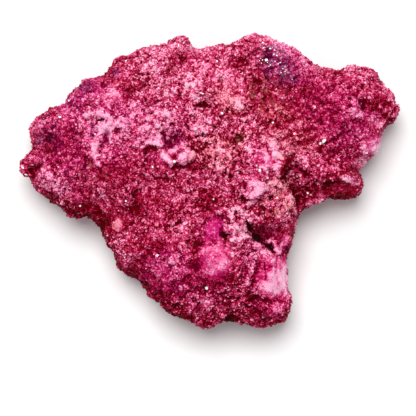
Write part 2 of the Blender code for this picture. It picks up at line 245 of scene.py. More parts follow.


# The patches that have a name of their own, placed on the picture of the face
PATCHES: dict[Shade, dict[str, Patch]] = {
    Shade.TONE: {
        # broad paler patches: partly the crust's own tone, partly painted light
        "light along the top": Patch(-8.0, 30.6, 7.0, 2.4, 0.20, turn=6),
        "light on the lip": Patch(15.0, 3.4, 2.2, 5.0, 0.24, turn=4),
        "light past the lip": Patch(21.4, 6.0, 3.8, 2.4, 0.20, turn=-20, lace=0.4),
        "light on the shoulder": Patch(23.0, 24.4, 2.8, 3.4, 0.12, turn=-30),
        # broad darker patches: partly the crust's own tone, partly painted shade
        "dark below the crust": Patch(-21.6, -0.4, 5.2, 3.4, -0.14, turn=-10),
        "dark above the step": Patch(18.4, 11.4, 4.6, 2.4, -0.14, turn=10),
        "dark on the lower left rim": Patch(-28.0, -5.4, 3.4, 1.6, -0.10, turn=-30),
        # the lacy pale crust on the left
        "left crust right": Patch(-21.6, 7.8, 2.8, 2.2, 0.20, lace=0.7),
        "upper left bloom": Patch(-20.5, 17.6, 8.5, 2.0, 0.16, turn=16, lace=0.5),
        "left cheek": Patch(-36.6, 0.6, 2.8, 2.4, 0.34, turn=-30, lace=0.5),
        "left foot specks": Patch(-31.6, -3.8, 3.4, 1.8, 0.26, turn=-32, lace=0.9),
        "left rim": Patch(-39.0, 11.4, 1.6, 3.2, 0.18, lace=0.6),
        "small smooth pink": Patch(-20.6, -9.8, 1.4, 1.3, 0.34, turn=35, lace=0.1),
        # across the top
        "top left bloom": Patch(-13.4, 25.6, 2.2, 1.4, 0.18, turn=20, lace=0.4),
        "top knob tip": Patch(-5.6, 31.4, 1.2, 1.5, -0.04, lace=0.5),
        "top knob flank": Patch(-8.6, 26.2, 1.4, 3.2, 0.20, turn=-8, lace=0.6),
        "upper middle bloom": Patch(3.2, 24.2, 6.2, 2.4, 0.16, turn=4, lace=0.6),
        "upper middle crest": Patch(-3.2, 21.6, 2.4, 1.8, 0.30, turn=30, lace=0.6),
        "peach knob": Patch(3.0, 18.9, 1.8, 1.2, 0.22, lace=0.5),
        "upper pale knob": Patch(6.5, 17.7, 1.5, 1.5, 0.38, turn=-30),
        "shoulder rim": Patch(19.4, 28.4, 4.6, 1.5, 0.26, turn=-38),
        "right lobe rim": Patch(33.2, 24.6, 2.8, 1.2, 0.18, turn=-6, lace=0.5),
        # the middle
        "middle bloom": Patch(-11.5, 16.2, 6.4, 1.8, 0.22, turn=6, lace=0.5),
        "rib head": Patch(-15.4, 12.4, 2.4, 1.6, 0.20, lace=0.5),
        "centre crest": Patch(0.8, 8.2, 3.2, 1.6, 0.24, turn=35, lace=0.7),
        "centre bloom": Patch(9.6, 9.6, 2.0, 1.0, 0.26, turn=10, lace=0.6),
        "behind the lip": Patch(11.8, 4.8, 2.6, 3.0, 0.16, lace=0.4),
        "block specks": Patch(16.2, -2.6, 2.6, 3.2, 0.26, turn=20, lace=0.9),
        "mid spot": Patch(-7.6, -4.0, 1.2, 1.0, 0.28, lace=0.4),
        # the lower end
        "smooth patch": Patch(1.4, -17.6, 3.4, 4.0, 0.27, turn=10, lace=0.10),
        "pale cheek": Patch(15.2, -20.8, 3.1, 4.6, 0.36, turn=12, lace=0.10),
        "cheek side": Patch(17.6, -21.4, 1.9, 4.2, 0.26, lace=0.10),
        "cheek step": Patch(15.0, -19.8, 0.7, 3.6, 0.24, lace=0.0),
        "cheek foot": Patch(11.6, -24.0, 2.0, 1.4, 0.40, lace=0.2),
        "cheek ridge": Patch(8.6, -21.4, 1.2, 4.2, 0.18, turn=-24, lace=0.7),
        "bottom pale one": Patch(-0.3, -27.3, 1.4, 1.8, 0.40),
        "bottom pale two": Patch(15.2, -28.4, 1.5, 1.2, 0.42),
        "lower band": Patch(-11.2, -18.9, 4.2, 1.8, 0.16, turn=8, lace=0.6),
        "lower left glitter": Patch(-19.0, -17.2, 2.0, 1.8, 0.18, turn=-40, lace=0.8),
        # the right lobe
        "right pale rim": Patch(36.4, 7.4, 2.4, 2.8, 0.34, turn=-30, lace=0.2),
        "right streak": Patch(31.2, 0.4, 2.2, 0.7, 0.40, turn=-24),
        "right salmon": Patch(17.8, 10.0, 5.2, 3.6, 0.08, turn=-20, lace=0.7),
        # deep places, under overhangs and on low rims, darkened as painted shade
        "left dark": Patch(-36.0, 9.9, 2.8, 3.4, -0.22, lace=0.6),
        "round pit": Patch(-21.0, 11.5, 0.9, 1.0, -0.36, lace=0.2),
        "centre hollow": Patch(-8.6, 10.0, 2.3, 2.0, -0.24),
        "under the knob": Patch(-7.2, 27.6, 2.0, 1.6, -0.24, lace=0.6),
        "brown dip": Patch(-17.8, 20.0, 1.6, 1.6, -0.18, lace=0.7),
        "upper hollow": Patch(-0.6, 17.2, 2.0, 1.2, -0.34, lace=0.4),
        "upper dip": Patch(6.4, 27.0, 1.7, 1.4, -0.26, lace=0.5),
        "glassy hole": Patch(13.4, 28.0, 1.0, 0.7, -0.50, turn=45, lace=0.1),
        "right lobe dusk": Patch(38.2, 17.2, 3.6, 3.4, -0.16, lace=0.5),
        "right corner": Patch(40.4, 13.8, 1.4, 1.4, -0.28, lace=0.4),
        "under the lip": Patch(19.2, 2.2, 3.2, 3.4, -0.26, turn=-20, lace=0.6),
        "block foot": Patch(20.2, -3.6, 1.4, 3.4, -0.30, turn=10, lace=0.5),
        "lower right wall": Patch(29.6, -1.4, 4.6, 1.9, -0.12),
        "dark cavity": Patch(13.2, -11.0, 4.4, 2.2, -0.34, turn=-8, lace=0.4),
        "second cavity": Patch(14.0, -13.8, 1.6, 0.9, -0.50, turn=-38, lace=0.2),
        "bottom cavity": Patch(5.0, -30.8, 1.5, 0.9, -0.50, lace=0.2),
        "under the cheek": Patch(13.2, -26.4, 1.6, 0.6, -0.20, lace=0.4),
        "lower pit": Patch(-3.2, -18.6, 2.0, 1.3, -0.26, lace=0.7),
        "second lower pit": Patch(-2.8, -14.0, 1.0, 0.8, -0.30, lace=0.4),
        "dull patch": Patch(-11.4, -14.8, 2.2, 1.4, -0.10, lace=0.6),
        "furrow": Patch(-17.2, -4.6, 1.8, 3.0, -0.16, turn=-20, lace=0.6),
        "edge knob": Patch(17.2, -13.8, 1.3, 1.2, -0.22, lace=0.5),
        "lower left wall": Patch(-29.8, -7.0, 10.0, 2.0, -0.26, turn=-30, lace=0.4),
        "lower left rim": Patch(-15.4, -23.4, 8.0, 1.8, -0.22, turn=-42, lace=0.4),
        "bottom end": Patch(4.6, -29.0, 13.5, 3.4, -0.08, lace=0.6),
        # paler spots between the crests: partly the crust's own tone, partly painted light
        "popcorn light": Patch(-6.6, 7.1, 3.4, 1.8, 0.20, turn=25),
        "crust column light": Patch(-26.6, 9.8, 1.6, 4.7, 0.22, turn=8),
        "light above the lip": Patch(9.6, 14.1, 4.5, 1.6, 0.10, turn=10, lace=0.4),
        "light right of the lip": Patch(16.6, 8.7, 1.3, 2.5, 0.16, turn=10, lace=0.4),
        "knob light": Patch(9.8, -1.2, 2.4, 2.0, 0.16, lace=0.6),
        "coral light": Patch(6.9, -12.0, 2.2, 1.1, 0.18),
        "coral head light": Patch(4.7, -7.0, 2.0, 1.1, 0.14),
        "light in the dark cavity": Patch(14.8, -12.0, 3.1, 1.3, 0.10, turn=-10, lace=0.4),
        "light down the crest": Patch(10.5, -16.5, 1.1, 2.5, 0.14, turn=30),
        "light on the cheek's foot": Patch(14.3, -24.6, 2.0, 1.3, 0.16, lace=0.1),
        "light on the shoulder's edge": Patch(15.9, 30.8, 3.1, 1.1, 0.14, turn=-25),
        # darker spots between the crests: partly the crust's own tone, partly painted shade
        "dark above the rib": Patch(-13.6, 16.6, 1.8, 2.9, -0.22, turn=-10),
        "dark under the violet": Patch(15.2, 24.7, 2.5, 3.4, -0.14, turn=35),
        "dark right of the step": Patch(23.3, 7.6, 2.7, 2.2, -0.24, turn=-40),
        "smooth patch middle": Patch(1.5, -16.9, 2.5, 1.3, -0.18, lace=0.1),
        "dull patch two": Patch(-9.7, -15.3, 2.5, 1.3, -0.14),
    },
    # purer magenta
    Shade.MAGENTA: {
        "right": Patch(29.0, 15.2, 9.5, 7.0, 0.40, turn=-30, lace=0.4),
        "stain": Patch(1.2, -10.8, 1.9, 2.8, 1.00, turn=-10, lace=0.2),
        "hollow": Patch(-8.4, 9.4, 2.8, 2.4, 0.80),
        "lower": Patch(-5.0, -22.0, 10.0, 6.0, 0.50, turn=-15, lace=0.6),
        "left": Patch(-31.0, 17.4, 3.0, 1.6, 0.70, turn=28, lace=0.4),
        "left crust": Patch(-25.7, 11.6, 9.4, 9.4, 0.55),
        "upper left": Patch(-29.1, 20.6, 6.3, 3.1, 0.60, turn=25),
        "upper": Patch(-13.3, 15.0, 9.0, 4.0, 0.35, lace=0.4),
        "rib": Patch(-10.0, 7.1, 5.4, 4.9, 0.30, lace=0.4),
        "stain surround": Patch(1.1, -13.6, 4.0, 7.6, 0.30),
        "bottom": Patch(13.8, -27.6, 4.4, 3.0, 0.50),
        "low": Patch(-10.0, -19.8, 6.7, 4.9, 0.25, lace=0.4),
        "cheek": Patch(12.3, -18.0, 5.4, 6.7, 0.55),
        "rim": Patch(33.5, 10.5, 6.3, 6.7, 0.25),
        "lip": Patch(11.9, 5.3, 2.7, 4.0, 0.45, turn=10),
        "knob": Patch(10.3, -1.4, 2.2, 2.2, 0.45),
        "foot": Patch(-33.6, 1.5, 6.7, 4.5, 0.40, turn=-20, lace=0.4),
        "shoulder": Patch(18.6, 26.9, 4.0, 5.4, 0.60, turn=40),
    },
    # violet
    Shade.VIOLET: {
        "glassy shoulder": Patch(15.4, 26.0, 5.2, 3.2, 0.80, turn=-46, lace=0.4),
        "left": Patch(-27.6, 21.2, 1.8, 1.1, 0.75, turn=20),
        "edge": Patch(-21.0, 24.6, 1.0, 1.0, 0.70),
        "left dusk": Patch(-36.4, 10.4, 3.4, 4.0, 0.45, lace=0.6),
        "lobe": Patch(34.0, 17.6, 0.7, 0.7, 0.35),
        "grey knob": Patch(17.2, -13.8, 1.2, 1.2, 0.45, lace=0.4),
        "crust dusk": Patch(-26.2, 11.8, 0.9, 1.8, 0.55, lace=0.4),
        "long pit dusk": Patch(-23.2, 9.9, 0.9, 1.6, 0.5),
    },
    # salmon and peach
    Shade.PEACH: {
        "middle": Patch(5.0, 17.6, 5.0, 3.0, 0.38, turn=-10, lace=0.7),
        "centre": Patch(1.8, 6.8, 5.0, 4.0, 0.55, lace=0.8),
        "right": Patch(18.0, 11.0, 7.0, 5.0, 0.45, turn=-20, lace=0.8),
        "block": Patch(16.4, -3.0, 3.4, 4.0, 0.60, lace=0.8),
        "foot": Patch(-20.8, -9.6, 1.9, 1.0, 0.60, turn=48, lace=0.2),
        "step": Patch(15.0, 15.7, 3.1, 2.0, 0.50, lace=0.5),
        "pit": Patch(6.5, 9.8, 2.0, 1.6, 0.40, lace=0.6),
        "upper": Patch(3.8, 20.2, 4.0, 2.2, 0.20, lace=0.6),
    },
    # ochre
    Shade.OCHRE: {
        "left": Patch(-19.2, 21.4, 2.0, 1.6, 0.26, lace=0.95),
        "middle": Patch(7.2, 9.8, 1.4, 1.0, 0.40, lace=0.8),
        "block": Patch(16.0, -5.6, 3.2, 1.6, 0.40, lace=0.95),
        "foot": Patch(-26.2, 1.6, 3.4, 2.4, 0.24, lace=0.95),
        "upper right": Patch(13.0, 20.0, 4.4, 3.6, 0.22, turn=-30, lace=0.95),
    },
    # near-black painted shade in the deepest hollows
    Shade.HOLLOW_SHADE: {
        "cavity": Patch(10.6, -12.8, 1.3, 0.8, 0.9, turn=-30, lace=0.6),
        "cavity top": Patch(9.0, -10.2, 0.6, 1.2, 0.8, turn=10, lace=0.7),
        "second": Patch(13.4, -14.6, 1.4, 0.5, 0.9, turn=-44, lace=0.4),
        "bottom": Patch(4.9, -30.9, 1.3, 0.6, 0.70),
        "crevice": Patch(-1.2, 10.6, 1.0, 0.35, 0.60, lace=0.4),
        "left": Patch(-37.0, 10.0, 1.6, 1.8, 0.45, lace=0.8),
        "lobe": Patch(34.5, 16.8, 0.5, 0.9, 0.60),
    },
    # soft powdery skins that hide the crystals
    Shade.POWDER: {
        "cheek": Patch(14.8, -21.2, 4.2, 4.6, 0.9, turn=-8, lace=0.1),
        "smooth": Patch(1.0, -17.9, 3.7, 4.2, 0.9, turn=10, lace=0.15),
        "stain": Patch(1.2, -10.8, 1.9, 2.8, 0.85, turn=-10, lace=0.2),
        "lip": Patch(15.0, 5.6, 1.8, 3.6, 0.4, turn=24, lace=0.5),
        "rim": Patch(37.2, 8.6, 1.9, 2.4, 0.85, turn=-20, lace=0.2),
        "pink": Patch(-20.8, -9.6, 1.8, 0.9, 0.50, turn=48, lace=0.1),
        "wall": Patch(29.6, -1.4, 4.4, 1.8, 0.3, lace=0.5),
        "crust": Patch(-24.0, 9.0, 4.4, 6.0, 0.40, lace=0.6),
        "popcorn": Patch(-7.6, 6.0, 3.8, 2.0, 0.50, turn=22, lace=0.4),
        "left end": Patch(-34.5, 8.7, 5.4, 5.4, 0.12),
        "upper left": Patch(-21.9, 22.4, 4.9, 4.0, 0.30),
        "lobe": Patch(28.3, 17.0, 9.4, 7.2, 0.18, turn=-10),
        "lobe tip": Patch(37.1, 17.5, 3.6, 4.5, 0.12),
        "foot": Patch(-27.9, -4.1, 6.7, 2.5, 0.35, turn=-28),
        "below the crust": Patch(-21.9, 2.6, 4.0, 2.2, 0.18),
        "lower left": Patch(-12.9, -18.7, 4.5, 7.6, 0.22, turn=-20),
        "block foot": Patch(13.7, -10.0, 4.5, 1.8, 0.50),
        "lower wall": Patch(29.0, -1.9, 5.4, 2.2, 0.32),
        "above the step": Patch(16.4, 16.6, 4.9, 4.9, 0.25),
        "smooth lip": Patch(11.9, 5.3, 2.2, 3.6, 0.40, turn=15),
        "bottom lump": Patch(-0.3, -27.3, 1.4, 1.8, 0.50),
        "corner lump": Patch(15.2, -28.4, 1.5, 1.2, 0.50),
    },
    # where the crust is full of small holes
    Shade.FROTH: {
        "left": Patch(-24.0, 10.0, 6.0, 6.5, 0.9),
        "middle": Patch(-6.0, 14.0, 13.0, 9.0, 0.7, turn=-12, lace=0.5),
        "centre": Patch(3.0, 8.0, 9.0, 7.0, 0.8, lace=0.4),
        "coral": Patch(7.0, -7.0, 5.0, 6.0, 1.0, turn=-20, lace=0.2),
        "block": Patch(16.0, -4.0, 4.5, 6.0, 0.9),
        "upper": Patch(-12.0, 25.0, 8.0, 4.5, 0.6, turn=10, lace=0.4),
        "cheek": Patch(10.0, -18.0, 3.6, 5.0, 0.8, turn=-20),
        "foot": Patch(-34.0, -2.0, 5.0, 3.0, 0.7, turn=-35, lace=0.4),
        "bottom": Patch(2.0, -27.0, 11.0, 4.5, 0.6, lace=0.5),
        "right of centre": Patch(11.9, 13.9, 5.8, 5.4, 0.30, lace=0.4),
        "below the middle": Patch(-5.5, -7.5, 4.0, 9.0, 0.50, lace=0.4),
        "lower left": Patch(-21.2, -14.2, 2.2, 3.6, 0.60, turn=-20, lace=0.4),
    },
    # where clear violet crystals stand among the grains
    Shade.GLASSY: {
        "glass cluster": Patch(14.4, 27.0, 4.6, 2.8, 1.00, turn=-44),
        "glass tail": Patch(17.2, 24.4, 2.4, 1.6, 0.60, turn=-40, lace=0.5),
    },
}

# Small spots that are paler or darker than what they lie in, partly the stone's own tone and partly painted
# light and shade: x, y, half_x, half_y, amount
TOUCHES: tuple[Patch, ...] = tuple(Patch(*row) for row in (
    # the left end
    (-41.0, 2.6, 1.1, 2.0, -0.12), (-39.4, 0.8, 2.2, 2.2, -0.20), (-39.2, 4.7, 1.1, 1.1, 0.12),
    (-38.5, 7.8, 1.1, 1.6, 0.16), (-38.5, 4.9, 0.9, 1.1, 0.12), (-38.1, 8.3, 0.9, 1.1, 0.14),
    (-38.1, 4.4, 1.1, 1.1, 0.12), (-37.6, 11.0, 1.3, 0.9, -0.14), (-36.9, 1.7, 1.6, 1.1, -0.14),
    (-36.7, 12.8, 1.8, 0.9, 0.12), (-36.3, 0.8, 1.8, 2.0, -0.10), (-35.8, -2.3, 1.8, 1.3, -0.12),
    (-35.0, 6.6, 5.0, 4.0, -0.10), (-33.6, 0.8, 3.6, 1.3, -0.12), (-33.6, -4.6, 2.0, 1.1, -0.12),
    (-33.1, -2.5, 1.3, 1.1, 0.08), (-32.4, 16.6, 1.8, 1.6, 0.14), (-32.4, 6.7, 2.2, 3.4, -0.08),
    (-31.8, -3.0, 1.8, 1.1, 0.13), (-31.3, 14.6, 2.0, 1.1, 0.14), (-31.1, 17.0, 1.1, 1.3, -0.12),
    (-30.6, 1.7, 1.8, 1.3, -0.10), (-30.0, 11.2, 1.1, 1.1, -0.12), (-30.0, 7.1, 1.1, 1.6, 0.10),
    (-30.0, -6.4, 1.8, 0.7, -0.16), (-29.7, 9.2, 2.2, 1.3, 0.12), (-29.6, 11.4, 3.2, 3.4, -0.18),
    (-28.6, 17.3, 1.8, 1.1, -0.14),
    # the upper left
    (-27.9, 17.7, 2.2, 0.9, -0.08), (-27.9, 13.4, 1.3, 2.2, 0.14), (-27.3, 17.5, 1.6, 0.9, -0.08),
    (-26.4, 19.5, 1.1, 0.9, 0.12), (-25.7, 14.8, 2.2, 1.8, 0.16), (-25.5, 16.4, 1.3, 1.3, -0.10),
    (-25.0, 23.3, 2.2, 0.9, 0.14), (-24.6, 22.9, 2.0, 0.7, 0.16), (-23.7, 13.4, 2.7, 1.6, 0.28),
    (-23.4, 21.1, 0.9, 1.1, -0.16), (-23.4, 19.7, 3.1, 1.3, 0.14), (-21.9, 20.0, 2.2, 3.2, 0.24),
    (-21.9, 16.6, 1.8, 1.3, -0.14), (-21.2, 15.7, 1.1, 1.8, -0.15), (-21.0, 12.4, 4.0, 2.8, 0.24),
    (-20.3, 25.6, 1.8, 1.3, -0.15), (-19.8, 23.6, 1.1, 1.1, 0.14), (-18.3, 23.8, 1.1, 1.1, 0.08),
    (-18.0, 19.3, 0.9, 1.1, 0.12), (-17.8, 16.6, 0.9, 1.6, 0.18), (-17.8, 15.9, 0.9, 1.1, 0.14),
    (-17.8, 12.1, 5.4, 2.0, 0.10), (-17.1, 12.5, 1.8, 1.6, -0.18), (-16.4, 20.8, 3.0, 3.4, -0.16),
    (-16.2, 20.6, 1.6, 1.3, -0.10), (-15.6, 16.6, 1.6, 1.6, -0.12), (-14.9, 24.5, 1.8, 1.1, -0.14),
    # the crust and below it
    (-27.9, -1.2, 2.7, 2.9, -0.12), (-27.3, 7.8, 1.1, 1.3, -0.12), (-27.3, 3.8, 1.3, 1.6, -0.12),
    (-25.7, 3.5, 1.6, 1.3, -0.10), (-25.2, 1.1, 1.1, 0.9, 0.12), (-24.8, 5.4, 5.0, 3.8, -0.20),
    (-24.6, 6.0, 1.1, 1.8, 0.20), (-24.6, 5.3, 1.1, 1.3, 0.10), (-23.4, 11.2, 2.2, 0.9, 0.12),
    (-23.2, 11.6, 2.0, 1.1, 0.14), (-23.0, 0.4, 1.3, 0.9, -0.08), (-21.2, 7.8, 1.3, 1.1, -0.14),
    (-21.2, 5.3, 1.8, 0.9, 0.12), (-19.8, -1.9, 1.1, 1.1, -0.16), (-17.4, 3.3, 1.3, 1.3, -0.10),
    (-17.1, 7.8, 1.8, 1.6, 0.12), (-16.9, 11.0, 1.8, 1.6, -0.14), (-16.2, 11.4, 1.3, 1.3, -0.12),
    (-16.0, 6.2, 1.1, 1.3, 0.14), (-14.9, 0.8, 0.7, 2.0, 0.10),
    # the lower left
    (-27.5, -4.6, 1.3, 1.6, -0.12), (-24.6, -4.1, 1.8, 1.3, 0.10), (-24.2, -8.6, 2.8, 1.8, -0.20),
    (-23.7, -10.0, 1.1, 1.6, -0.16), (-23.0, -4.6, 1.3, 1.3, 0.12), (-22.3, -15.1, 1.1, 3.1, -0.14),
    (-22.1, -3.7, 2.0, 0.9, -0.13), (-21.2, -7.9, 1.8, 1.6, -0.12), (-20.7, -12.4, 1.1, 1.3, 0.12),
    (-20.5, -18.0, 0.9, 1.8, -0.16), (-18.3, -4.8, 1.6, 1.1, 0.14), (-17.8, -3.4, 1.8, 1.3, 0.12),
    (-17.8, -14.2, 1.1, 1.6, -0.08), (-16.2, -10.4, 1.3, 1.1, -0.18), (-16.2, -10.9, 1.1, 2.2, -0.10),
    (-15.6, -7.5, 2.2, 2.2, -0.09), (-15.6, -7.5, 1.1, 1.8, -0.08), (-15.3, -19.8, 0.9, 1.3, -0.16),
    (-14.4, -5.0, 0.9, 0.9, -0.16),
    # along the top, left of the middle
    (-13.8, 25.8, 1.8, 1.1, -0.10), (-13.3, 20.6, 1.1, 1.3, 0.10), (-12.9, 29.6, 1.6, 1.1, 0.16),
    (-11.5, 29.0, 1.3, 1.3, 0.16), (-11.3, 21.1, 1.3, 1.1, -0.14), (-10.0, 29.2, 0.9, 1.3, -0.10),
    (-9.5, 24.7, 1.6, 1.1, -0.14), (-8.8, 24.7, 1.1, 1.1, -0.24), (-8.8, 19.1, 1.3, 0.9, 0.16),
    (-8.6, 28.5, 0.9, 1.6, -0.10), (-7.9, 19.3, 1.3, 1.1, 0.16), (-6.6, 31.7, 1.8, 1.3, -0.22),
    (-6.6, 21.1, 1.1, 1.1, -0.16), (-6.1, 21.3, 1.1, 1.1, -0.18), (-5.9, 31.2, 1.8, 1.1, -0.10),
    (-5.7, 32.3, 1.1, 0.4, 0.16), (-5.5, 24.2, 1.3, 0.9, 0.16), (-4.1, 24.0, 1.6, 1.1, 0.26),
    (-3.7, 20.2, 0.9, 1.6, 0.12), (-2.5, 30.1, 1.6, 0.9, 0.10), (-2.1, 22.4, 1.3, 1.3, -0.26),
    (-1.9, 29.6, 1.3, 0.9, 0.20), (-1.6, 21.1, 2.0, 0.9, 0.14), (-1.4, 25.6, 2.0, 1.1, 0.16),
    (-1.4, 20.9, 2.2, 1.6, -0.20), (-1.2, 25.8, 1.1, 1.1, 0.10), (-1.0, 20.6, 1.8, 1.3, -0.15),
    # the rib and the popcorn lumps
    (-13.8, 4.2, 0.9, 1.3, -0.14), (-13.3, 9.8, 1.3, 1.3, 0.18), (-12.2, 13.4, 0.9, 0.9, -0.10),
    (-11.8, 15.2, 1.8, 0.9, 0.11), (-11.8, 13.2, 1.8, 0.9, -0.18), (-11.5, 8.7, 3.1, 1.1, 0.15),
    (-11.5, 6.9, 2.5, 1.1, -0.18), (-11.1, 6.0, 1.8, 1.1, 0.14), (-10.9, 15.7, 1.6, 0.9, 0.12),
    (-9.7, 17.0, 1.1, 0.9, -0.20), (-9.5, 11.0, 1.3, 1.3, 0.20), (-9.3, 10.7, 1.3, 1.3, 0.16),
    (-8.2, 14.6, 2.0, 0.9, 0.20), (-7.0, 7.1, 2.0, 1.1, 0.20), (-5.5, 15.7, 1.6, 1.1, -0.12),
    (-5.2, 4.7, 1.1, 1.1, 0.13), (-5.0, 9.8, 1.3, 1.1, -0.14), (-5.0, 9.4, 0.9, 0.9, -0.18),
    (-4.8, 17.3, 0.7, 0.7, 0.10), (-4.3, 15.7, 1.8, 1.6, -0.14), (-4.3, 5.6, 1.3, 1.1, 0.15),
    (-3.9, 12.8, 0.9, 1.3, -0.15), (-3.7, 12.3, 0.9, 1.1, -0.15), (-3.2, 5.3, 1.8, 1.1, 0.12),
    (-3.0, 17.3, 0.9, 1.1, 0.14), (-2.5, 17.7, 0.9, 1.3, 0.20), (-2.1, 11.6, 1.3, 0.9, 0.18),
    (-1.9, 11.2, 1.1, 1.1, 0.25), (-1.6, 14.8, 1.1, 1.1, -0.16), (-1.6, 8.3, 2.7, 1.1, -0.14),
    (-1.6, 5.8, 1.3, 0.9, 0.12), (-0.7, 7.6, 1.1, 1.1, -0.14), (-0.3, 14.1, 1.3, 1.3, 0.28),
    (-0.3, 7.8, 0.9, 1.1, -0.12), (-0.3, 7.8, 0.9, 1.3, -0.16), (-0.3, 7.6, 1.6, 0.9, -0.14),
    # below the middle
    (-13.8, 3.8, 1.3, 0.9, -0.08), (-13.8, -8.4, 1.1, 1.3, 0.16), (-13.1, -1.9, 2.0, 2.2, 0.14),
    (-12.9, 2.9, 3.1, 1.1, -0.12), (-12.9, -0.7, 1.1, 1.1, -0.15), (-12.2, -7.9, 1.8, 1.1, 0.12),
    (-11.8, -3.4, 1.3, 0.9, 0.13), (-9.3, -10.4, 0.9, 1.3, -0.18), (-8.8, -1.2, 2.0, 0.7, -0.12),
    (-8.8, -10.4, 1.8, 1.1, -0.10), (-8.4, 2.6, 1.6, 0.9, -0.12), (-7.7, -3.2, 1.1, 1.1, 0.15),
    (-7.7, -7.3, 1.3, 1.1, -0.22), (-7.6, -6.8, 2.2, 2.6, -0.16), (-5.9, -10.9, 1.6, 1.3, 0.16),
    (-5.5, -0.7, 2.2, 0.9, -0.11), (-5.0, -10.0, 1.1, 1.1, -0.14), (-3.9, 1.5, 1.1, 1.1, 0.13),
    (-3.2, -4.6, 3.1, 1.1, -0.12), (-3.2, -7.5, 1.1, 1.3, 0.14), (-3.2, -10.9, 1.3, 1.1, -0.12),
    (-1.4, 3.3, 1.3, 1.1, -0.22), (-1.4, -11.5, 1.1, 1.1, -0.12), (-1.2, -3.8, 2.8, 2.8, -0.08),
    (-1.0, 3.1, 1.1, 2.7, -0.14), (-0.3, -2.8, 2.9, 1.3, -0.11), (-0.3, -5.7, 1.3, 2.9, -0.12),
    # the lower end, on the left
    (-13.6, -19.6, 3.4, 2.4, -0.10), (-12.2, -18.0, 1.8, 1.1, 0.16), (-10.0, -21.4, 1.6, 1.1, 0.18),
    (-10.0, -23.0, 1.3, 1.6, 0.12), (-10.0, -24.3, 1.8, 1.8, -0.18), (-10.0, -24.3, 1.3, 1.3, -0.08),
    (-9.8, -24.4, 3.4, 3.0, -0.20), (-9.5, -27.9, 2.0, 2.0, -0.10), (-8.8, -28.6, 3.1, 1.3, -0.11),
    (-7.9, -26.4, 1.6, 1.1, -0.16), (-7.5, -14.2, 1.8, 0.9, -0.12), (-6.6, -30.2, 1.8, 0.7, -0.20),
    (-6.1, -18.7, 0.9, 1.8, 0.10), (-6.1, -22.5, 1.8, 0.9, -0.08), (-5.5, -22.5, 1.8, 0.9, -0.14),
    (-5.5, -30.4, 2.2, 1.1, -0.20), (-4.6, -31.2, 6.0, 1.8, -0.14), (-3.2, -30.0, 1.1, 1.3, 0.18),
    (-2.1, -25.9, 1.3, 0.9, -0.10), (-1.6, -16.9, 2.2, 0.9, 0.10), (-1.0, -27.9, 1.1, 1.1, 0.14),
    (-1.0, -32.2, 1.1, 0.9, -0.16), (-0.6, -20.8, 1.2, 1.1, 0.20), (-0.5, -26.6, 1.3, 2.7, -0.12),
    (-0.3, -20.1, 1.8, 0.9, 0.12), (-0.1, -19.2, 1.3, 1.8, -0.10),
    # along the top, right of the middle
    (0.6, 18.8, 1.3, 1.1, 0.12), (2.6, 23.6, 1.1, 1.3, 0.16), (3.5, 30.1, 1.3, 1.3, 0.14),
    (3.5, 21.3, 2.0, 1.1, -0.10), (4.4, 30.3, 1.3, 1.1, -0.12), (4.7, 27.8, 1.1, 1.3, 0.18),
    (6.0, 25.6, 1.6, 0.9, -0.12), (6.2, 21.1, 1.1, 1.1, 0.12), (6.9, 31.4, 1.3, 1.1, 0.18),
    (6.9, 23.8, 1.1, 1.3, -0.14), (7.4, 26.3, 1.3, 1.1, -0.14), (7.4, 21.8, 1.1, 2.0, 0.10),
    (9.2, 29.6, 1.6, 1.6, -0.12), (9.2, 26.3, 1.1, 1.6, 0.14), (10.5, 32.6, 3.1, 1.1, 0.30),
    (10.7, 22.9, 1.1, 1.3, -0.20), (11.0, 23.8, 2.2, 3.4, -0.14), (11.0, 22.2, 1.3, 1.3, -0.16),
    (12.1, 21.1, 1.3, 1.3, -0.12), (12.5, 28.5, 0.9, 1.6, -0.30), (12.8, 24.5, 0.9, 1.8, -0.12),
    (13.7, 32.3, 2.0, 0.7, 0.14), (13.7, 31.7, 2.2, 1.1, 0.16),
    # right of the middle
    (0.2, 15.0, 0.9, 1.8, 0.10), (0.8, 17.7, 1.3, 0.9, 0.15), (1.3, 15.5, 4.9, 1.6, -0.13),
    (2.0, 11.0, 1.1, 1.1, -0.16), (2.4, 4.4, 0.9, 0.9, 0.12), (2.9, 7.1, 0.9, 1.3, 0.11),
    (3.5, 9.4, 1.3, 1.1, -0.20), (3.5, 9.2, 0.9, 0.9, -0.18), (5.3, 17.3, 1.3, 1.3, -0.18),
    (9.2, 16.1, 1.6, 1.8, -0.16), (9.2, 12.5, 1.1, 1.3, 0.10), (9.6, 8.0, 1.1, 1.1, 0.14),
    (9.8, 7.1, 1.8, 2.0, 0.10), (10.7, 10.3, 1.6, 0.9, -0.10), (10.7, 8.9, 1.6, 1.6, -0.20),
    (11.6, 14.8, 1.1, 1.1, 0.13), (11.9, 17.7, 1.1, 1.3, -0.15), (12.3, 5.6, 1.8, 0.9, 0.14),
    (13.2, 12.5, 2.2, 1.1, -0.18),
    # the knob and beside it
    (0.6, 0.4, 0.9, 1.1, 0.18), (2.0, 3.5, 1.3, 1.1, 0.15), (4.7, -1.2, 1.6, 2.7, 0.08),
    (5.1, 2.2, 2.0, 0.9, -0.12), (5.8, -4.1, 1.1, 0.9, -0.20), (5.8, -5.5, 1.6, 1.8, 0.10),
    (7.4, 1.1, 1.8, 0.9, 0.16), (7.8, -1.0, 1.1, 1.3, -0.12), (8.3, 0.2, 0.9, 1.3, -0.15),
    (8.7, -1.2, 1.1, 0.9, -0.24), (8.9, -5.5, 0.9, 1.3, 0.14), (9.6, -4.8, 1.3, 2.0, 0.32),
    (9.8, 1.3, 1.1, 1.1, 0.18), (10.5, -1.4, 2.0, 1.8, 0.16), (10.7, -2.8, 1.3, 1.1, 0.22),
    (12.3, -5.9, 0.9, 1.1, -0.12), (12.8, 1.5, 0.9, 0.9, 0.13), (13.0, -1.4, 2.0, 1.6, 0.30),
    (13.9, -1.9, 1.3, 0.9, 0.18),
    # the coral and the cavities
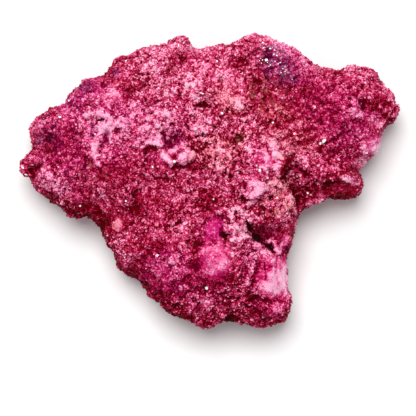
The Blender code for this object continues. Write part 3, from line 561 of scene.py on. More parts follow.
    (0.8, -6.8, 2.0, 1.8, -0.10), (0.8, -10.9, 1.1, 1.1, 0.10), (3.3, -9.5, 1.1, 0.7, -0.14),
    (3.5, -14.4, 1.1, 0.9, -0.14), (3.8, -10.2, 0.9, 1.1, -0.14), (6.9, -12.0, 2.2, 0.9, 0.18),
    (7.1, -14.7, 1.6, 1.3, 0.15), (7.6, -8.6, 1.3, 0.9, -0.14), (8.0, -7.9, 1.1, 1.1, -0.14),
    (8.3, -11.3, 2.0, 1.3, 0.15), (8.5, -15.1, 1.8, 1.3, -0.20), (11.9, -10.4, 2.0, 0.9, 0.11),
    (11.9, -15.8, 1.1, 1.1, 0.12), (13.0, -7.0, 1.8, 1.6, -0.26), (13.2, -10.6, 2.0, 1.3, 0.20),
    (13.7, -10.0, 2.0, 1.1, 0.20), (13.7, -13.8, 1.3, 1.1, 0.14),
    # the smooth patch and the bottom
    (0.2, -29.3, 1.3, 1.1, -0.12), (0.6, -24.6, 1.6, 2.0, -0.10), (1.3, -18.7, 1.3, 1.8, 0.14),
    (2.4, -22.6, 6.8, 2.8, -0.24), (3.5, -21.6, 2.7, 1.1, -0.12), (3.5, -26.8, 3.6, 1.1, -0.09),
    (4.7, -24.8, 1.8, 0.9, 0.10), (4.9, -18.9, 1.1, 1.1, -0.10), (5.3, -16.2, 0.9, 0.9, 0.12),
    (6.5, -24.8, 1.6, 0.9, 0.12), (6.9, -28.4, 1.1, 1.1, 0.16), (7.6, -21.0, 2.9, 2.7, -0.12),
    (8.0, -25.7, 1.8, 1.6, -0.14), (8.5, -20.7, 1.3, 1.3, -0.10), (9.2, -18.0, 1.8, 0.9, -0.10),
    (9.2, -27.7, 1.3, 1.1, -0.11), (9.2, -28.4, 1.1, 1.1, -0.11), (9.8, -24.6, 1.3, 1.6, -0.18),
    (9.8, -24.8, 1.3, 1.8, -0.20), (11.6, -21.4, 0.7, 1.3, 0.14), (11.9, -19.0, 1.9, 2.8, -0.26),
    (11.9, -28.4, 3.1, 1.6, -0.12), (11.9, -29.3, 2.7, 1.3, -0.13), (12.5, -28.4, 2.7, 1.1, 0.16),
    (12.5, -28.4, 2.2, 1.6, -0.10), (12.6, -28.4, 5.4, 2.8, -0.12), (13.2, -18.9, 1.1, 1.1, -0.14),
    # the violet shoulder
    (15.0, 30.3, 0.9, 1.8, 0.12), (17.0, 28.5, 2.7, 1.8, -0.06), (17.5, 21.5, 1.6, 1.3, -0.16),
    (18.2, 21.1, 1.3, 1.1, -0.08), (20.4, 19.7, 1.1, 1.1, -0.12), (21.3, 20.2, 1.3, 2.2, -0.12),
    (22.2, 27.6, 1.3, 0.9, 0.12), (22.7, 21.8, 1.6, 2.7, -0.11), (23.8, 24.0, 0.9, 0.9, -0.12),
    (24.2, 20.0, 1.1, 1.3, 0.12), (26.0, 25.4, 3.1, 0.7, 0.20), (26.0, 21.8, 1.1, 2.0, 0.12),
    # the bowl and the step
    (14.1, 7.1, 1.3, 1.8, 0.12), (14.1, 6.0, 1.1, 1.3, 0.14), (14.8, 6.8, 1.1, 1.1, 0.14),
    (15.0, 5.6, 0.9, 1.1, 0.14), (15.9, 9.4, 1.6, 1.6, 0.16), (16.6, 10.5, 1.3, 1.1, 0.14),
    (17.0, 17.3, 1.3, 1.6, 0.12), (17.3, 8.0, 1.3, 2.5, 0.15), (18.2, 5.8, 1.1, 1.6, 0.12),
    (18.6, 16.8, 1.3, 1.6, 0.12), (19.7, 12.8, 1.6, 1.1, 0.14), (20.4, 9.8, 1.6, 1.1, -0.20),
    (20.9, 13.2, 1.3, 1.1, 0.26), (20.9, 13.2, 1.8, 0.9, 0.16), (21.3, 16.1, 2.0, 0.9, -0.12),
    (21.5, 9.4, 1.1, 1.1, -0.10), (22.2, 15.2, 1.3, 1.1, -0.12), (22.2, 6.0, 1.3, 1.1, 0.08),
    (22.6, 15.2, 6.6, 4.4, -0.22), (24.9, 17.3, 1.3, 0.9, -0.12), (25.4, 13.4, 1.3, 0.9, -0.14),
    (26.3, 17.9, 2.0, 0.9, -0.13), (26.5, 10.5, 1.6, 1.6, 0.10), (26.5, 10.3, 1.1, 1.3, 0.11),
    (27.6, 15.5, 0.9, 1.3, 0.13),
    # the block and the wall
    (14.8, -6.8, 3.1, 0.7, -0.10), (15.7, 2.6, 1.1, 1.8, -0.14), (16.1, 2.9, 0.9, 1.3, -0.12),
    (16.4, 3.8, 0.9, 1.8, -0.14), (16.4, 3.8, 0.9, 1.3, 0.14), (16.6, 3.1, 0.9, 1.1, -0.10),
    (18.8, 3.5, 0.9, 2.9, 0.12), (19.3, 1.5, 1.3, 1.3, 0.18), (19.7, 2.4, 1.3, 1.8, 0.18),
    (21.4, -2.0, 3.4, 1.6, -0.12), (22.4, -0.1, 0.9, 1.6, 0.11), (22.9, -1.2, 1.8, 1.8, -0.10),
    (23.1, -1.9, 2.0, 1.1, -0.12), (23.6, -4.8, 2.7, 0.7, 0.20), (23.8, -1.4, 2.5, 1.3, -0.12),
    (25.2, 1.4, 5.6, 1.4, -0.16), (26.0, -3.7, 1.1, 0.7, 0.12), (27.8, 3.5, 1.3, 0.9, 0.12),
    # the cheek and the edge knob
    (14.1, -25.0, 1.8, 1.1, 0.12), (14.3, -18.0, 1.1, 2.5, -0.30), (14.8, -13.8, 1.3, 1.6, 0.28),
    (16.6, -11.1, 1.1, 1.6, 0.12), (16.6, -14.4, 1.6, 0.9, -0.22), (16.6, -21.2, 0.9, 2.0, 0.14),
    (16.6, -27.3, 1.1, 1.1, -0.13), (16.8, -15.1, 1.3, 0.7, -0.16), (17.0, -21.4, 0.7, 2.2, 0.12),
    (17.0, -22.1, 0.9, 3.1, 0.34), (17.0, -24.8, 0.9, 1.1, -0.18), (17.5, -26.1, 0.7, 1.3, 0.28),
    (19.5, -10.0, 0.4, 1.8, 0.14),
    # the lobe
    (28.3, 19.1, 1.3, 1.1, 0.12), (28.7, 16.8, 1.1, 1.1, -0.12), (30.1, 12.8, 2.7, 0.9, -0.11),
    (30.5, 25.6, 3.1, 0.7, 0.16), (30.5, 15.9, 3.1, 0.7, -0.12), (30.6, 12.6, 3.6, 2.6, -0.16),
    (31.2, 22.9, 0.9, 1.1, 0.12), (31.7, 25.8, 5.4, 0.9, 0.14), (32.1, 18.4, 1.3, 1.8, -0.20),
    (32.1, 17.7, 1.8, 1.8, 0.20), (32.6, 18.2, 0.9, 0.9, 0.12), (32.8, 25.8, 2.7, 0.4, 0.14),
    (32.8, 15.5, 1.1, 0.9, 0.14), (33.0, 20.9, 1.3, 1.3, -0.15), (33.5, 15.0, 1.3, 1.3, 0.12),
    (33.6, 21.8, 2.4, 2.2, -0.08), (33.7, 15.0, 2.0, 1.6, 0.10), (34.4, 16.6, 0.7, 0.7, -0.30),
    (36.2, 24.7, 1.8, 0.9, 0.18), (36.6, 12.5, 3.6, 1.1, 0.12), (38.0, 16.8, 2.7, 1.8, -0.14),
    (38.4, 22.4, 1.1, 1.1, 0.14), (38.4, 13.9, 2.7, 1.3, 0.22), (38.6, 17.0, 2.4, 3.0, -0.10),
    (39.1, 16.6, 0.4, 0.4, -0.30), (39.3, 21.3, 0.9, 1.8, 0.16), (39.5, 14.6, 0.7, 0.7, -0.26),
    (40.7, 20.6, 1.1, 2.0, 0.20), (40.9, 13.7, 1.1, 0.7, -0.24), (41.8, 19.5, 0.9, 2.0, 0.12),
    (42.4, 16.1, 0.9, 1.3, -0.14),
    # the lobe's pale rim and the lower lobe
    (28.3, 4.2, 1.6, 1.1, 0.10), (29.4, 1.5, 1.1, 0.9, -0.12), (29.4, -3.0, 1.8, 0.9, -0.10),
    (30.1, 10.7, 1.8, 2.7, -0.10), (30.5, 6.0, 1.8, 1.1, 0.14), (30.5, -3.2, 1.6, 0.9, -0.14),
    (31.7, 7.6, 1.1, 1.6, -0.14), (32.3, -0.1, 1.8, 1.6, 0.14), (33.2, 2.6, 1.3, 0.9, 0.14),
    (33.9, 4.0, 1.6, 1.8, 0.18), (34.1, 4.9, 1.3, 1.8, 0.16), (34.4, 11.2, 1.6, 1.6, 0.16),
    (34.4, 4.7, 0.9, 1.3, 0.16), (34.4, 3.8, 1.3, 1.3, 0.14), (34.4, 3.8, 1.1, 1.3, 0.16),
    (35.7, 7.6, 0.9, 1.1, -0.14), (35.7, 7.6, 0.7, 0.9, -0.22), (36.0, 11.2, 1.9, 2.0, -0.22),
    (36.8, 7.6, 0.9, 0.9, 0.12), (37.7, 8.0, 0.9, 1.8, 0.18), (38.0, 7.6, 1.1, 1.1, 0.14),
    (38.6, 11.4, 0.7, 1.8, 0.20), (39.1, 9.4, 0.9, 2.7, 0.22),
))

# Such spots where the grain of the crust shows through more
LACY_TOUCHES: tuple[Patch, ...] = tuple(Patch(*row, lace=0.4) for row in (
    # the left end
    (-38.5, 4.9, 0.9, 1.1, 0.12), (-33.4, 0.0, 3.4, 3.2, 0.14), (-32.0, 15.7, 1.8, 1.3, 0.12),
    # the upper left
    (-21.9, 20.2, 2.2, 1.6, 0.12), (-18.9, 25.8, 1.8, 1.8, 0.10),
    # the lower left
    (-23.4, -3.0, 1.6, 1.3, 0.12), (-20.5, -13.1, 1.3, 1.8, 0.08), (-20.0, -12.8, 2.2, 2.4, 0.12),
    # along the top, left of the middle
    (-13.3, 29.6, 2.0, 1.1, 0.14), (-8.8, 20.2, 1.3, 1.6, 0.12), (-8.6, 20.8, 3.6, 2.2, 0.16),
    (-4.6, 24.4, 3.4, 2.8, 0.14), (-1.0, 25.1, 2.0, 1.3, 0.12), (-0.5, 29.6, 3.6, 1.6, 0.12),
    # the rib and the popcorn lumps
    (-13.8, 11.6, 5.4, 3.6, 0.20), (-12.9, 9.8, 2.7, 1.3, 0.16), (-2.4, 16.0, 3.2, 6.4, 0.24),
    (-1.6, 11.4, 1.3, 1.3, 0.20),
    # below the middle
    (-14.0, 0.8, 2.4, 3.4, 0.14), (-13.8, -9.1, 1.6, 1.1, 0.12), (-13.1, -1.9, 2.7, 1.6, 0.12),
    (-8.2, -3.4, 1.6, 1.1, 0.12), (-6.1, -9.7, 1.3, 1.1, 0.10),
    # the lower end, on the left
    (-7.4, -15.4, 4.4, 4.4, 0.08), (-7.0, -19.8, 3.8, 0.9, 0.12),
    # along the top, right of the middle
    (1.3, 18.8, 1.6, 1.1, 0.14), (3.4, 22.6, 2.4, 3.8, 0.18), (6.9, 21.8, 1.6, 1.6, 0.10),
    # right of the middle
    (3.6, 7.2, 2.0, 2.4, 0.18), (8.2, 12.0, 2.6, 3.8, 0.20),
    # the knob and beside it
    (4.8, 0.6, 3.0, 5.0, 0.15), (9.2, 2.4, 1.8, 1.6, 0.15),
    # the coral and the cavities
    (8.0, -9.8, 3.2, 2.8, 0.20),
    # the smooth patch and the bottom
    (4.2, -24.3, 1.8, 0.9, 0.10),
    # the block and the wall
    (17.6, -6.4, 2.4, 5.4, 0.14), (20.0, 2.2, 1.6, 2.0, 0.12),
))

# The crooked threads and slits; a slit's darker tone is painted shade
STRANDS: dict[str, Strand] = {
    # the lacy crust on the left
    "crust arch": Strand(
        ((-28.8, 12.1), (-28.6, 14.3), (-26.8, 15.2),
         (-24.6, 15.2), (-22.3, 14.6)),
        0.49, 0.5, 0.30,
    ),
    "crust top": Strand(((-24.6, 15.5), (-23.7, 16.6), (-22.3, 16.8)), 0.45, 0.3, 0.24),
    "crust body": Strand(
        ((-22.3, 13.0), (-24.1, 12.5), (-25.0, 10.7),
         (-25.2, 8.7), (-25.9, 7.1)),
        0.67, 0.5, 0.30,
    ),
    "crust thread": Strand(((-22.8, 13.0), (-21.0, 13.0), (-19.2, 12.5)), 0.34, 0.4, 0.30),
    "crust spur": Strand(((-27.9, 8.0), (-26.6, 8.5), (-25.5, 8.0)), 0.36, 0.3, 0.26),
    "crust leg": Strand(((-25.7, 7.8), (-26.1, 6.2), (-25.7, 4.9), (-24.8, 3.8)), 0.49, 0.4, 0.30),
    "crust heel": Strand(((-24.8, 3.8), (-24.3, 5.3), (-23.7, 6.0)), 0.29, 0.3, 0.24),
    "crust wall": Strand(((-21.6, 12.3), (-22.3, 10.7), (-22.3, 8.9)), 0.29, 0.3, 0.20),
    "crust side": Strand(((-23.7, 6.9), (-22.3, 7.6), (-21.4, 6.0)), 0.36, 0.2, 0.14),
    "crust slit": Strand(((-25.5, 13.2), (-24.8, 13.9), (-23.7, 14.1)), 0.27, -0.6, -0.40),
    "crust dusk": Strand(((-26.4, 13.0), (-26.1, 10.5)), 0.45, -0.4, -0.24),
    "crust foot hole": Strand(((-25.0, 4.9), (-24.3, 5.1)), 0.27, -0.4, -0.30),
    # the rib and the popcorn lumps in the middle
    "rib": Strand(
        ((-14.2, 14.1), (-11.8, 13.7), (-11.1, 11.6), (-11.1, 9.4),
         (-11.1, 7.8), (-10.0, 5.8), (-8.6, 4.2)),
        0.49, 0.6, 0.30,
    ),
    "rib branch": Strand(((-11.1, 8.5), (-12.7, 8.9), (-14.0, 8.5), (-15.1, 7.8)), 0.4, 0.5, 0.26),
    "rib top": Strand(((-13.3, 14.6), (-10.6, 15.5), (-7.7, 15.7)), 0.58, 0.2, 0.20),
    "rib shoulder": Strand(((-15.8, 11.6), (-14.2, 12.3), (-13.3, 11.4)), 0.56, 0.3, 0.24),
    "rib slit": Strand(((-14.4, 6.5), (-13.8, 7.8), (-11.8, 7.6)), 0.36, -0.5, -0.28),
    "popcorn ridge": Strand(((-8.4, 6.9), (-6.8, 8.0), (-5.2, 8.9)), 0.49, 0.7, 0.34),
    "popcorn lump": Strand(((-6.1, 5.6), (-5.0, 6.7), (-4.1, 6.2)), 0.72, 0.9, 0.34),
    "popcorn low": Strand(((-6.8, 4.9), (-5.7, 4.2)), 0.54, 0.6, 0.32),
    "popcorn left": Strand(((-10.4, 6.5), (-9.3, 5.3)), 0.95, 0.5, 0.28),
    "popcorn gap": Strand(((-7.9, 5.6), (-7.0, 6.7), (-5.7, 6.9)), 0.27, -0.7, -0.40),
    "popcorn shadow": Strand(((-7.5, 3.5), (-5.2, 3.3), (-3.2, 4.9)), 0.38, -0.4, -0.28),
    "hollow slit": Strand(((-10.6, 11.2), (-9.7, 8.9), (-8.4, 7.8)), 0.45, -0.4, -0.24),
    "middle lumps": Strand(((-4.8, 15.7), (-3.2, 16.1), (-2.3, 15.5)), 0.58, 0.4, 0.28),
    "middle thread": Strand(((-3.7, 11.0), (-2.8, 12.8), (-2.1, 14.3)), 0.45, 0.4, 0.26),
    "middle crumbs": Strand(((-1.0, 9.4), (0.8, 7.8), (2.4, 7.1)), 0.67, 0.3, 0.20),
    # the lip and the knob below it
    "lip": Strand(
        ((11.9, 9.6), (13.7, 9.2), (14.8, 7.8),
         (14.6, 6.5), (15.9, 5.6), (16.1, 4.2)),
        0.67, 0.9, 0.30,
    ),
    "lip foot": Strand(((16.1, 4.2), (15.0, 3.1), (15.7, 2.2)), 0.72, 0.9, 0.28),
    "lip groove": Strand(((13.0, 7.8), (13.7, 6.5), (14.1, 5.3)), 0.22, -0.5, -0.28),
    "centre cluster": Strand(((7.1, 8.0), (8.3, 7.8), (9.2, 7.1)), 0.58, 0.5, 0.32),
    "knob": Strand(((8.6, -2.4), (9.4, -0.6), (11.2, -0.5), (10.7, -1.9)), 0.8, 0.9, 0.22),
    "knob ring": Strand(((12.1, -0.5), (12.8, -1.4), (11.9, -2.1)), 0.4, 0.5, 0.30),
    "knob tail": Strand(((10.1, -2.5), (8.9, -3.2)), 0.58, 0.5, 0.30),
    "knob stem": Strand(((11.9, 0.4), (13.0, 1.3), (13.0, 2.6), (11.6, 3.5)), 0.36, 0.5, 0.28),
    "centre dark": Strand(((6.0, 9.4), (7.4, 10.1)), 0.67, -0.6, -0.38),
    "small dark": Strand(((3.8, 2.0), (4.7, 1.3)), 0.49, -0.5, -0.36),
    "knob shadow": Strand(((7.4, -3.4), (8.7, -3.9)), 0.49, -0.5, -0.36),
    "lip hollow": Strand(((17.0, 4.9), (17.5, 2.6), (16.4, 1.1)), 0.54, -0.6, -0.34),
    "block shadow": Strand(((18.2, -1.0), (19.3, -2.8), (20.0, -4.8)), 0.45, -0.6, -0.34),
    # the block
    "block rim": Strand(
        ((13.7, -0.5), (15.2, -0.1), (16.6, -1.2),
         (17.5, -2.5), (18.4, -4.1), (18.6, -5.5)),
        0.49, 0.5, 0.24,
    ),
    "block inner": Strand(((12.8, -5.0), (14.1, -4.8)), 0.45, 0.4, 0.30),
    "block hollow": Strand(((10.6, -5.2), (12.0, -5.9)), 0.45, -0.4, -0.20),
    "block pit": Strand(((14.0, -5.5), (14.2, -6.0)), 0.27, -0.6, -0.40),
    # the coral
    "coral top": Strand(((2.9, -6.1), (4.9, -6.6), (6.5, -5.7)), 0.45, 0.5, 0.30),
    "coral stem": Strand(((6.5, -5.7), (7.8, -7.0), (7.6, -8.8)), 0.45, 0.5, 0.30),
    "coral branch": Strand(((4.9, -7.0), (5.3, -8.6), (5.6, -9.5)), 0.4, 0.4, 0.26),
    "coral lump": Strand(((3.8, -10.4), (5.3, -10.2), (6.5, -10.6)), 0.67, 0.7, 0.34),
    "coral side": Strand(((7.6, -9.1), (7.8, -11.1)), 0.54, 0.4, 0.28),
    "coral foot": Strand(((4.9, -12.9), (6.7, -12.9), (8.3, -12.2)), 0.49, 0.7, 0.32),
    "coral end": Strand(((8.5, -12.2), (9.6, -13.1)), 0.45, 0.5, 0.28),
    "coral arm": Strand(((9.2, -9.1), (10.5, -8.2)), 0.54, 0.5, 0.28),
    "coral toe": Strand(((6.9, -14.0), (8.5, -14.4)), 0.45, 0.3, 0.24),
    "coral pit": Strand(((2.9, -11.8), (3.8, -12.7)), 0.58, -0.8, -0.40),
    "coral dip": Strand(((2.4, -7.7), (4.0, -8.2)), 0.4, -0.4, -0.30),
    "coral hole": Strand(((5.8, -7.5), (6.2, -7.9)), 0.29, -0.4, -0.30),
    "black gap": Strand(((8.7, -9.3), (9.4, -10.9)), 0.4, -0.9, -0.45),
    "black pool": Strand(((9.8, -12.2), (11.4, -13.3)), 0.52, -1.0, -0.50),
    "black slit": Strand(((12.1, -13.6), (13.4, -14.7), (14.3, -15.8)), 0.36, -0.9, -0.50),
    "twig": Strand(
        ((12.8, -13.6), (14.1, -13.1), (15.0, -14.4),
         (15.5, -15.8), (16.4, -14.0), (17.5, -12.4)),
        0.42, 0.9, 0.46,
    ),
    # the cheek and the smooth patch
    "cheek crest": Strand(((10.5, -13.8), (11.9, -15.3), (13.6, -17.1)), 1.0, 0.4, 0.24),
    "cheek slit": Strand(((12.5, -18.2), (12.7, -22.1)), 0.16, -0.5, -0.36),
    "cheek stripe": Strand(((10.5, -17.1), (9.4, -19.8), (8.5, -23.0)), 0.36, 0.4, 0.22),
    "cheek groove": Strand(((11.4, -18.0), (10.3, -20.7), (9.6, -23.9)), 0.31, -0.3, -0.16),
    # along the top
    "top crumbs": Strand(((-14.9, 25.4), (-13.6, 26.5), (-12.4, 26.9)), 0.45, 0.4, 0.30),
    "knob crumbs": Strand(((-9.7, 29.6), (-8.4, 30.3), (-7.0, 31.0)), 0.45, 0.3, 0.26),
    "knob hook": Strand(((-7.0, 31.7), (-5.9, 32.3), (-5.0, 31.0)), 0.36, 0.4, 0.20),
    "upper crest": Strand(((-5.7, 20.6), (-4.3, 21.5), (-2.8, 22.2)), 0.58, 0.4, 0.26),
    "upper knob": Strand(((5.1, 18.2), (6.5, 17.5), (7.1, 16.8)), 0.58, 0.5, 0.30),
    "upper gap": Strand(((-3.0, 17.0), (-1.4, 17.5), (-0.3, 17.0)), 0.49, -0.6, -0.34),
    # the left end and the right lobe
    "left foot": Strand(((-37.2, 2.6), (-35.8, 0.8), (-34.5, -0.5)), 0.72, 0.4, 0.24),
    "left foot edge": Strand(((-38.3, 2.2), (-37.6, -0.1), (-36.5, -1.4)), 0.45, 0.3, 0.24),
    "nub edge": Strand(((-42.1, 3.8), (-41.7, 2.2), (-41.0, 1.1)), 0.31, 0.3, 0.30),
    "nub gap": Strand(((-40.1, 2.6), (-39.6, 1.3)), 0.4, -0.6, -0.34),
    "lobe rim": Strand(((35.0, 7.1), (36.6, 6.7), (38.4, 7.6)), 0.81, 0.3, 0.26),
    "wall streak": Strand(((30.1, 0.8), (31.2, 0.2), (32.3, -0.3)), 0.27, 0.3, 0.34),
    "lobe gap": Strand(((34.9, 18.4), (34.5, 16.6)), 0.27, -0.5, -0.24),
    "lobe hole": Strand(((36.2, 17.7), (36.6, 17.3)), 0.31, -0.5, -0.30),
}

FORMS: dict[str, Form] = {
    "long pit": Form(-23.2, 9.9, 0.7, 1.3, -0.4),
    "round pit": Form(-21.0, 11.5, 0.7, 0.8, -0.5),
    "edge knob": Form(17.4, -13.8, 1.1, 1.0, 0.8),
    "glassy hole": Form(13.5, 28.0, 1.0, 0.6, -1.0, turn=45),
    "furrow pit": Form(-16.6, -3.6, 0.8, 1.8, -1.0, turn=-20),
    "small pink": Form(-20.6, -9.8, 1.2, 1.0, 0.6, turn=35),
}


@dataclass(frozen=True)
class MarkRule:
    """How the listed marks end: raggedly, broken up by the grain, and only on the face."""

    patch_swells: Swells = Swells(2.2, 3, shift=77.0)
    patch_ragged: float = 0.25
    patch_lace_ragged: float = 0.5
    patch_edge: Step = Step(1.35, 0.65)
    lace_swells: Swells = Swells(1.3, 2, shift=91.0)
    lace_holes: Step = Step(0.12, -0.22)
    strand_swells: Swells = Swells(0.8, 3, shift=63.0)
    strand_ragged: float = 0.5
    crumbs: Cells = Cells(0.9, shift=17.0)
    crumb_middle: float = 0.55
    crumb_ragged: float = 1.3
    strand_edge: Step = Step(1.6, 0.4)
    level: Step = Step(5.0, 10.0)
    level_ragged: float = 2.5


class Marks:
    """The listed marks of the face, looked up at a set of points."""

    def __init__(self, points: np.ndarray, rule: MarkRule = MarkRule()) -> None:
        """Finds where the picture shows each point, and how ragged a mark's edge is there.

        Args:
            points: Rows of x, y and z.
            rule: How the marks end.
        """
        self.points = points
        self.rule = rule
        self.plan = self.as_seen(points)
        flat = np.column_stack([self.plan, np.zeros(len(self.plan))])
        self.patch_ragged = rule.patch_swells.at(flat)
        self.holes = rule.lace_holes.at(rule.lace_swells.at(flat))
        self.strand_ragged = rule.strand_ragged * rule.strand_swells.at(flat)
        self.strand_ragged += rule.crumb_ragged * (rule.crumbs.at(flat) - rule.crumb_middle)

    @staticmethod
    def as_seen(points: np.ndarray) -> np.ndarray:
        """Where the picture shows each point, as x and y at the level that the camera aims at.

        Args:
            points: Rows of x, y and z.

        Returns:
            Rows of x and y.
        """
        middle = np.array(AIM[:2])
        spread = CAMERA_HEIGHT / (CAMERA_HEIGHT - points[:, 2] + AIM[2])
        return middle + (points[:, :2] - middle) * spread[:, None]

    def on_face(self, ragged: np.ndarray) -> np.ndarray:
        """How far the marks reach down the walls: 1 on the face, 0 low on a wall.

        Args:
            ragged: What makes the edge uneven.

        Returns:
            One value for each point.
        """
        return self.rule.level.at(self.points[:, 2] + self.rule.level_ragged * ragged)

    def patched(self, shade: Shade) -> np.ndarray:
        """What all the patches of one shade add up to.

        Args:
            shade: Which patches.

        Returns:
            One value for each point.
        """
        rule = self.rule
        total = np.zeros(len(self.points))
        patches = list(PATCHES[shade].values())
        if shade is Shade.TONE:
            patches += TOUCHES + LACY_TOUCHES
        for patch in patches:
            ragged = (rule.patch_ragged + rule.patch_lace_ragged * patch.lace) * self.patch_ragged
            mask = rule.patch_edge.at(patch.reach(self.plan) + ragged)
            total += patch.amount * mask * (1.0 - patch.lace * self.holes)
        return total * self.on_face(self.patch_ragged)

    def stranded(self, amount: Callable[[Strand], float]) -> np.ndarray:
        """What all the strands add up to.

        Args:
            amount: What a strand adds.

        Returns:
            One value for each point.
        """
        total = np.zeros(len(self.points))
        for strand in STRANDS.values():
            total += amount(strand) * self.rule.strand_edge.at(strand.reach(self.plan) + self.strand_ragged)
        return total * self.on_face(self.strand_ragged)


@dataclass
class Skin:
    """A mesh's points, normals and neighbours as arrays, with its points in millimetres."""

    mesh: bpy.types.Mesh
    points: np.ndarray = field(init=False)
    edges: np.ndarray = field(init=False)

    def __post_init__(self) -> None:
        """Reads the mesh."""
        flat = np.empty(len(self.mesh.vertices) * 3)
        self.mesh.vertices.foreach_get("co", flat)
        self.points = flat.reshape(-1, 3) / MM
        ends = np.empty(len(self.mesh.edges) * 2, dtype=np.int64)
        self.mesh.edges.foreach_get("vertices", ends)
        self.edges = ends.reshape(-1, 2)

    @property
    def normals(self) -> np.ndarray:
        """The normal at each point."""
        flat = np.empty(len(self.mesh.vertices) * 3)
        self.mesh.vertex_normals.foreach_get("vector", flat)
        return flat.reshape(-1, 3)

    def write(self) -> None:
        """Puts the points back in the mesh."""
        self.mesh.vertices.foreach_set("co", (self.points * MM).ravel())
        self.mesh.update()

    def relaxed(self, values: np.ndarray, rounds: int) -> np.ndarray:
        """Values averaged with their neighbours' again and again.

        Args:
            values: One value, or one row of values, for each point.
            rounds: How many times.

        Returns:
            The averaged values, in the same form.
        """
        start, stop = self.edges.T
        count = len(self.points)
        shares = 1.0 / np.bincount(self.edges.ravel(), minlength=count)
        columns = values.reshape(count, -1).copy()
        for _ in range(rounds):
            for column in columns.T:
                total = np.bincount(start, column[stop], count) + np.bincount(stop, column[start], count)
                column[:] = 0.5 * column + 0.5 * total * shares
        return columns.reshape(values.shape)

    def proud(self, rounds: int, most: float) -> np.ndarray:
        """How far each point stands out of its surroundings: -1 in a hollow and 1 on a crest.

        Args:
            rounds: How often the surroundings are smoothed.
            most: The height that counts as a full crest.

        Returns:
            One value for each point.
        """
        height = ((self.points - self.relaxed(self.points, rounds)) * self.normals).sum(axis=1)
        return np.clip(height / most, -1.0, 1.0)

    def store(self, name: str, values: np.ndarray) -> None:
        """Keeps one value for each point as the attribute with that name."""
        layer = self.mesh.attributes.new(name, "FLOAT", "POINT")
        layer.data.foreach_set("value", values.astype(np.float32))


class Wire:
    """A node's output. Python's operators on it add Math nodes."""

    def __init__(self, sheet: "Sheet", socket: bpy.types.NodeSocket) -> None:
        """Wraps one output socket of the sheet's tree."""
        self.sheet = sheet
        self.socket = socket

    def _math(self, operation: str, *values: Any) -> "Wire":
        """Adds one Math node that works on the values."""
        return self.sheet.wire("ShaderNodeMath", dict(enumerate(values)), operation=operation)

    def __add__(self, other: Any) -> "Wire":
        """self + other"""
        return self._math("ADD", self, other)

    def __radd__(self, other: Any) -> "Wire":
        """other + self"""
        return self._math("ADD", other, self)

    def __sub__(self, other: Any) -> "Wire":
        """self - other"""
        return self._math("SUBTRACT", self, other)

    def __rsub__(self, other: Any) -> "Wire":
        """other - self"""
        return self._math("SUBTRACT", other, self)

    def __neg__(self) -> "Wire":
        """0 - self"""
        return 0.0 - self

    def __mul__(self, other: Any) -> "Wire":
        """self * other"""
        return self._math("MULTIPLY", self, other)

    def __pow__(self, other: Any) -> "Wire":
        """self to the power of other"""
        return self._math("POWER", self, other)

    def less_than(self, other: Any) -> "Wire":
        """1 where the value is less than other, else 0."""
        return self._math("LESS_THAN", self, other)

    def clamped(self) -> "Wire":
        """The value, kept between 0 and 1."""
        return self.sheet.wire("ShaderNodeClamp", {"Value": self})

    def swing(self, most: float) -> "Wire":
        """A value between 0 and 1 made one between -most and most."""
        return (self - 0.5) * (2.0 * most)

    def above(self, step: Step) -> "Wire":
        """The step at the value."""
        values = {"Value": self, "From Min": step.low, "From Max": step.high}
        return self.sheet.wire("ShaderNodeMapRange", values, interpolation_type="SMOOTHSTEP")


